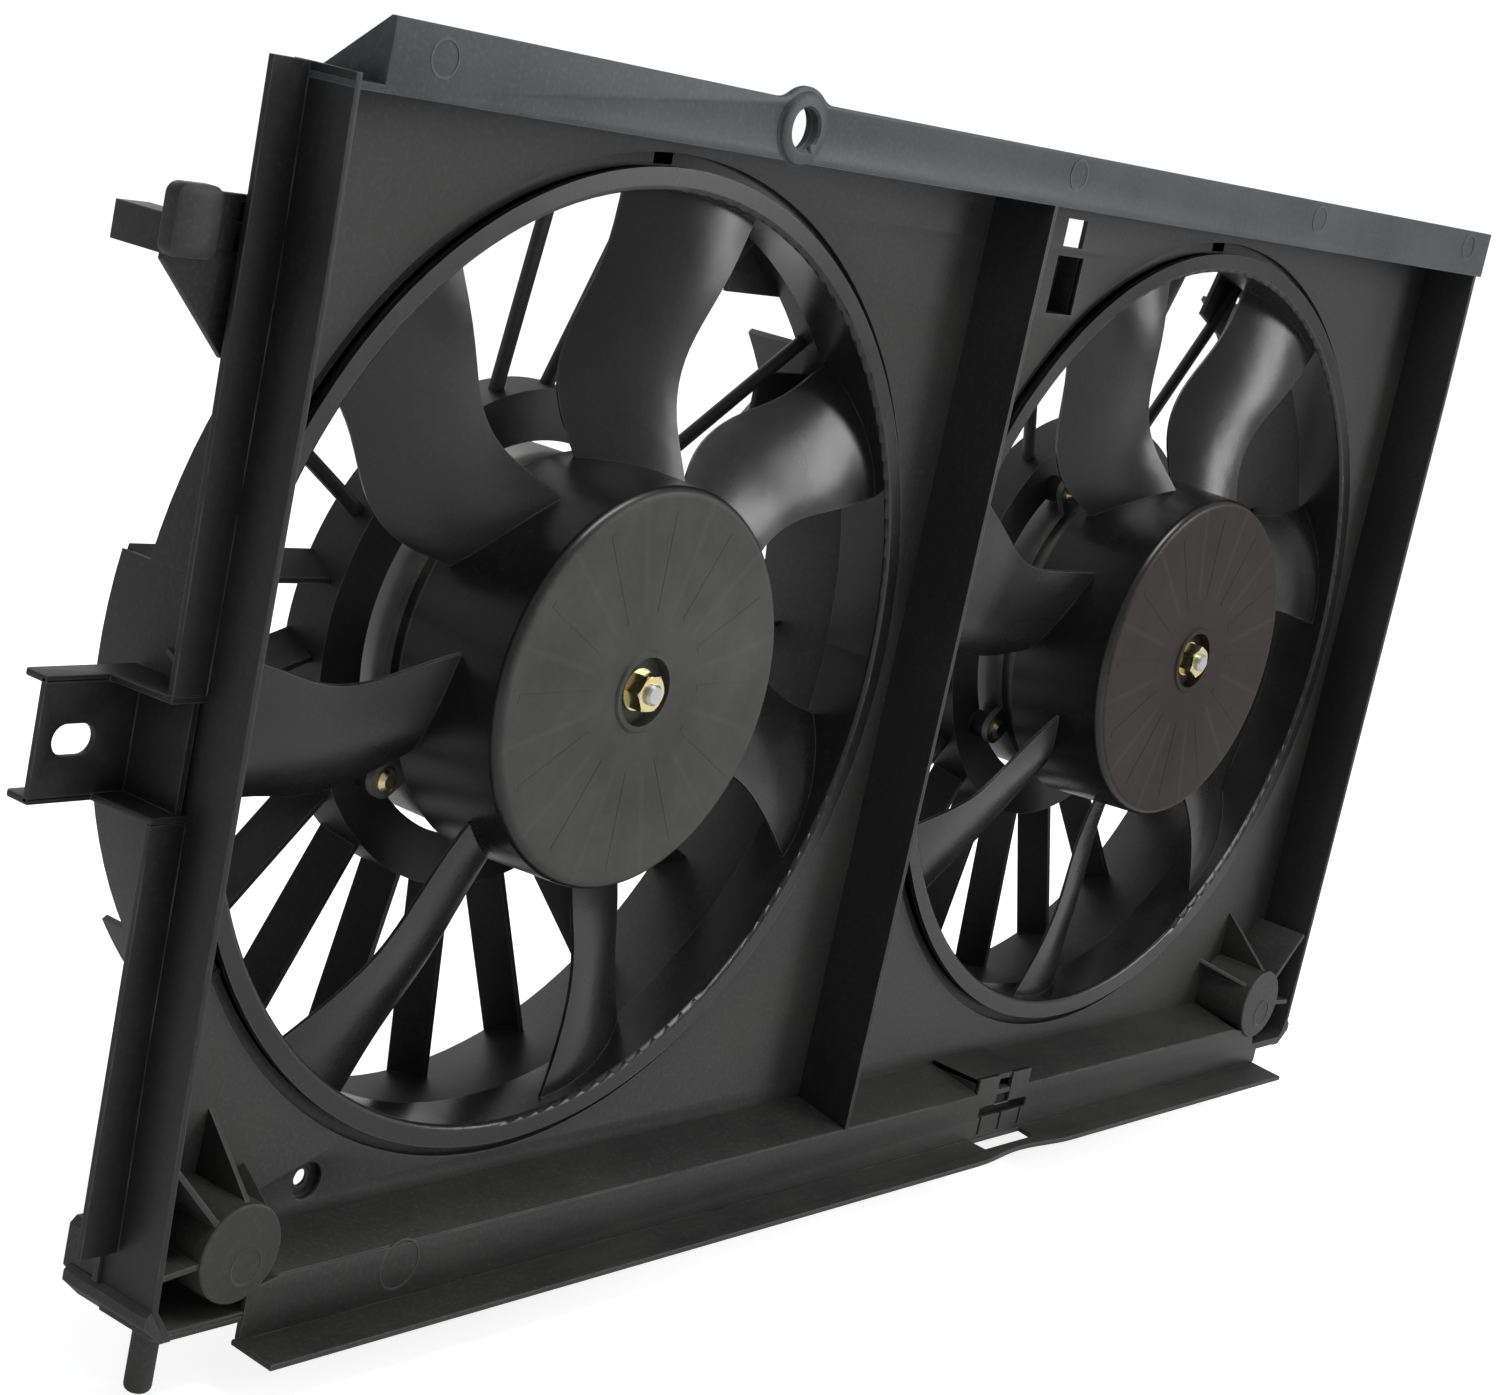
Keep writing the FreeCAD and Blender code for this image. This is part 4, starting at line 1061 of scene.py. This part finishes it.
def hub_mask_group():
    """Masks what lies inside a hub's rim and ahead of the plate, with its stain and flow lines."""
    group = new_group(
        "hub_face_mask",
        [("Centre", "NodeSocketVector", (0.0, 0.0, 0.0))],
        [("Face", "NodeSocketFloat"), ("Stain", "NodeSocketFloat"), ("Lines", "NodeSocketFloat")],
    )
    given = group.nodes["Group Input"]
    result = group.nodes["Group Output"]
    place = group.nodes.new("ShaderNodeTexCoord")
    centred = group.nodes.new("ShaderNodeVectorMath")
    centred.operation = "SUBTRACT"
    wire(group, place, "Object", centred, 0)
    wire(group, given, "Centre", centred, 1)
    parts = group.nodes.new("ShaderNodeSeparateXYZ")
    wire(group, centred, "Vector", parts, "Vector")
    across = reckoned(group, "POWER", (parts, "X"), 2.0)
    upward = reckoned(group, "POWER", (parts, "Z"), 2.0)
    squares = reckoned(group, "ADD", (across, "Value"), (upward, "Value"))
    radius = reckoned(group, "SQRT", (squares, "Value"))
    within = stepped(group, radius, "Value", hub_face_radius + 0.0012, hub_face_radius - 0.0008)
    ahead = stepped(group, parts, "Y", hub_zone_depth + 0.0006, hub_zone_depth)
    face = reckoned(group, "MULTIPLY", (within, "Result"), (ahead, "Result"))
    wire(group, face, "Value", result, "Face")
    stain = group.nodes.new("ShaderNodeTexNoise")
    stain.inputs["Scale"].default_value = 26.0
    stain.inputs["Detail"].default_value = 7.0
    stain.inputs["Roughness"].default_value = 0.68
    wire(group, centred, "Vector", stain, "Vector")
    stain_spread = stepped(group, stain, "Fac", 0.36, 0.66)
    wire(group, stain_spread, "Result", result, "Stain")
    turn = reckoned(group, "ARCTAN2", (parts, "Z"), (parts, "X"))
    sectors = reckoned(group, "MULTIPLY", (turn, "Value"), flow_lines / (2 * math.pi))
    share = reckoned(group, "FRACT", (sectors, "Value"))
    aside = reckoned(group, "SUBTRACT", (share, "Value"), 0.5)
    away = reckoned(group, "ABSOLUTE", (aside, "Value"))
    distance = reckoned(group, "MULTIPLY", (away, "Value"), (radius, "Value"))
    line = stepped(group, distance, "Value", 0.0034, 0.0004)
    beyond = stepped(group, radius, "Value", 0.028, 0.034)
    lines = reckoned(group, "MULTIPLY", (line, "Result"), (beyond, "Result"))
    wire(group, lines, "Value", result, "Lines")
    return group


hub_face_mask = hub_mask_group()
line_grey = (0.11, 0.11, 0.105)
line_strength = 0.12
face_dullness = 0.27


def fan_finish(name, centre_x, film, stain_colour, gloss):
    """Satin black plastic with a paler, duller hub face."""
    finish = plastic_finish(
        name, (0.006, 0.006, 0.0062), (0.012, 0.012, 0.012), drift_scale=14.0, roughness=0.2, dust=0.06,
        grain_depth=0.00003, edge_wear=0.35, edge_radius=0.0009,
    )
    tree = finish.node_tree
    shader = tree.nodes["Principled BSDF"]
    shader.inputs["Specular IOR Level"].default_value = gloss
    skin = tree.nodes["moulded_skin"]
    mask = tree.nodes.new("ShaderNodeGroup")
    mask.node_tree = hub_face_mask
    mask.inputs["Centre"].default_value = (centre_x * mm, plate_front * mm, axis_height * mm)
    filmed = blended(tree, (mask, "Stain"), film, stain_colour)
    lined = reckoned(tree, "MULTIPLY", (mask, "Lines"), line_strength)
    streaked = blended(tree, (lined, "Value"), (filmed, "Result"), line_grey)
    colour = blended(tree, (mask, "Face"), (skin, "Color"), (streaked, "Result"))
    tree.links.new(colour.outputs["Result"], shader.inputs["Base Color"])
    duller = reckoned(tree, "MULTIPLY_ADD", (mask, "Face"), face_dullness, (skin, "Roughness"))
    tree.links.new(duller.outputs["Value"], shader.inputs["Roughness"])
    return finish


def spoke_tree():
    """Faint raised bars spread evenly round the hub's face."""
    tree = bpy.data.node_groups.new("hub_spokes", "GeometryNodeTree")
    for label, kind, value in (
        ("Count", "NodeSocketInt", flow_lines),
        ("Inner Radius", "NodeSocketFloat", 0.03),
        ("Outer Radius", "NodeSocketFloat", 0.067),
        ("Width", "NodeSocketFloat", 0.0030),
        ("Height", "NodeSocketFloat", 0.00012),
    ):
        tree.interface.new_socket(name=label, in_out="INPUT", socket_type=kind).default_value = value
    tree.interface.new_socket(name="Finish", in_out="INPUT", socket_type="NodeSocketMaterial")
    tree.interface.new_socket(name="Geometry", in_out="OUTPUT", socket_type="NodeSocketGeometry")
    given = tree.nodes.new("NodeGroupInput")
    result = tree.nodes.new("NodeGroupOutput")
    reach = reckoned(tree, "SUBTRACT", (given, "Outer Radius"), (given, "Inner Radius"))
    total = reckoned(tree, "ADD", (given, "Outer Radius"), (given, "Inner Radius"))
    middle = reckoned(tree, "MULTIPLY", (total, "Value"), 0.5)
    sizes = tree.nodes.new("ShaderNodeCombineXYZ")
    wire(tree, reach, "Value", sizes, "X")
    wire(tree, given, "Width", sizes, "Y")
    wire(tree, given, "Height", sizes, "Z")
    bar = tree.nodes.new("GeometryNodeMeshCube")
    wire(tree, sizes, "Vector", bar, "Size")
    ring = tree.nodes.new("GeometryNodeMeshCircle")
    wire(tree, given, "Count", ring, "Vertices")
    wire(tree, middle, "Value", ring, "Radius")
    order = tree.nodes.new("GeometryNodeInputIndex")
    step = reckoned(tree, "DIVIDE", 2 * math.pi, (given, "Count"))
    heading = reckoned(tree, "MULTIPLY", (order, "Index"), (step, "Value"))
    turns = tree.nodes.new("ShaderNodeCombineXYZ")
    wire(tree, heading, "Value", turns, "Z")
    spread = tree.nodes.new("GeometryNodeInstanceOnPoints")
    wire(tree, ring, "Mesh", spread, "Points")
    wire(tree, bar, "Mesh", spread, "Instance")
    wire(tree, turns, "Vector", spread, "Rotation")
    real = tree.nodes.new("GeometryNodeRealizeInstances")
    wire(tree, spread, "Instances", real, "Geometry")
    finish = tree.nodes.new("GeometryNodeSetMaterial")
    wire(tree, real, "Geometry", finish, "Geometry")
    wire(tree, given, "Finish", finish, "Material")
    wire(tree, finish, "Geometry", result, "Geometry")
    return tree


def set_input(modifier, label, value):
    """Sets a Geometry Nodes input by its socket's identifier."""
    for socket in modifier.node_group.interface.items_tree:
        if socket.item_type == "SOCKET" and socket.in_out == "INPUT" and socket.name == label:
            modifier[socket.identifier] = value


hub_spokes = spoke_tree()
spoke_front = -0.03
blade_gloss = 0.5
hub_looks = {
    "left": ((0.022, 0.0235, 0.0205), (0.05, 0.052, 0.047), 0.45),
    "right": ((0.015, 0.0085, 0.0072), (0.021, 0.0175, 0.015), 0.22),
}
for side, axis_x in (("left", left_axis), ("right", right_axis)):
    film, stain_colour, face_gloss = hub_looks[side]
    hub_black = fan_finish(side + "_hub_black", axis_x, film, stain_colour, face_gloss)
    dress(side + "_fan", fan_finish(side + "_fan_black", axis_x, film, stain_colour, blade_gloss))
    fan_mesh = nodes[side + "_fan"].data
    fan_mesh.materials.append(hub_black)
    for polygon in fan_mesh.polygons:
        away = math.hypot(polygon.center.x - axis_x * mm, polygon.center.z - axis_height * mm)
        if away < hub_face_radius and polygon.center.y < plate_front * mm + hub_zone_depth:
            polygon.material_index = 1

    draft = bpy.data.objects.new("spoke_draft", bpy.data.meshes.new("spoke_draft"))
    bpy.context.scene.collection.objects.link(draft)
    modifier = draft.modifiers.new("hub_spokes", "NODES")
    modifier.node_group = hub_spokes
    set_input(modifier, "Count", flow_lines)
    set_input(modifier, "Finish", hub_black)
    seen = draft.evaluated_get(bpy.context.evaluated_depsgraph_get())
    spoke_mesh = bpy.data.meshes.new_from_object(seen)
    bpy.data.objects.remove(draft)
    for vertex in spoke_mesh.vertices:
        u, v, w = vertex.co
        vertex.co = (axis_x * mm + u, spoke_front * mm - w, axis_height * mm + v)
    spokes = bpy.data.objects.new(side + "_hub_spokes", spoke_mesh)
    bpy.context.scene.collection.objects.link(spokes)
    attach(spokes, side + "_rotor")

# Motors
# A drawn steel can with a zinc coat, closed by a cast end plate. The screws, nut and washer are zinc
# plated and passivated yellow, with the faint green and pink cast of that finish.


def metal_finish(name, colour, tint, roughness, scale):
    """A metal whose colour and gloss drift a little."""
    finish = bpy.data.materials.new(name)
    finish.use_nodes = True
    tree = finish.node_tree
    shader = tree.nodes["Principled BSDF"]
    place = tree.nodes.new("ShaderNodeTexCoord")
    drift = tree.nodes.new("ShaderNodeTexNoise")
    drift.inputs["Scale"].default_value = scale
    drift.inputs["Detail"].default_value = 4.0
    tree.links.new(place.outputs["Object"], drift.inputs["Vector"])
    spread = stepped(tree, drift, "Fac", 0.35, 0.65)
    mixed = blended(tree, (spread, "Result"), colour, tint)
    tree.links.new(mixed.outputs["Result"], shader.inputs["Base Color"])
    gloss = reckoned(tree, "MULTIPLY_ADD", (spread, "Result"), 0.15, roughness)
    tree.links.new(gloss.outputs["Value"], shader.inputs["Roughness"])
    shader.inputs["Metallic"].default_value = 1.0
    return finish


cast_grey = metal_finish("cast_grey", (0.2, 0.2, 0.195), (0.3, 0.3, 0.29), 0.5, 90.0)
can_grey = metal_finish("can_grey", (0.28, 0.28, 0.275), (0.38, 0.38, 0.37), 0.4, 40.0)
ground_steel = metal_finish("ground_steel", (0.5, 0.5, 0.5), (0.58, 0.58, 0.57), 0.28, 120.0)
yellow_zinc = metal_finish("yellow_zinc", (0.74, 0.6, 0.28), (0.66, 0.66, 0.42), 0.2, 160.0)
copper = metal_finish("enamelled_copper", (0.5, 0.2, 0.08), (0.6, 0.28, 0.12), 0.35, 200.0)
dark_ferrite = metal_finish("dark_ferrite", (0.05, 0.05, 0.052), (0.08, 0.08, 0.08), 0.6, 200.0)
motor_finishes = {
    "motor_can": can_grey,
    "motor_end_plate": cast_grey,
    "front_bearing": ground_steel,
    "rear_bearing": ground_steel,
    "motor_shaft": ground_steel,
    "armature_core": ground_steel,
    "motor_screws": yellow_zinc,
    "shaft_nut": yellow_zinc,
    "shaft_washer": yellow_zinc,
    "armature_winding": copper,
    "commutator": copper,
    "magnets": dark_ferrite,
    "brush_holder": dark_ferrite,
    "brushes": dark_ferrite,
}
for side in ("left", "right"):
    for part, finish in motor_finishes.items():
        dress(side + "_" + part, finish)
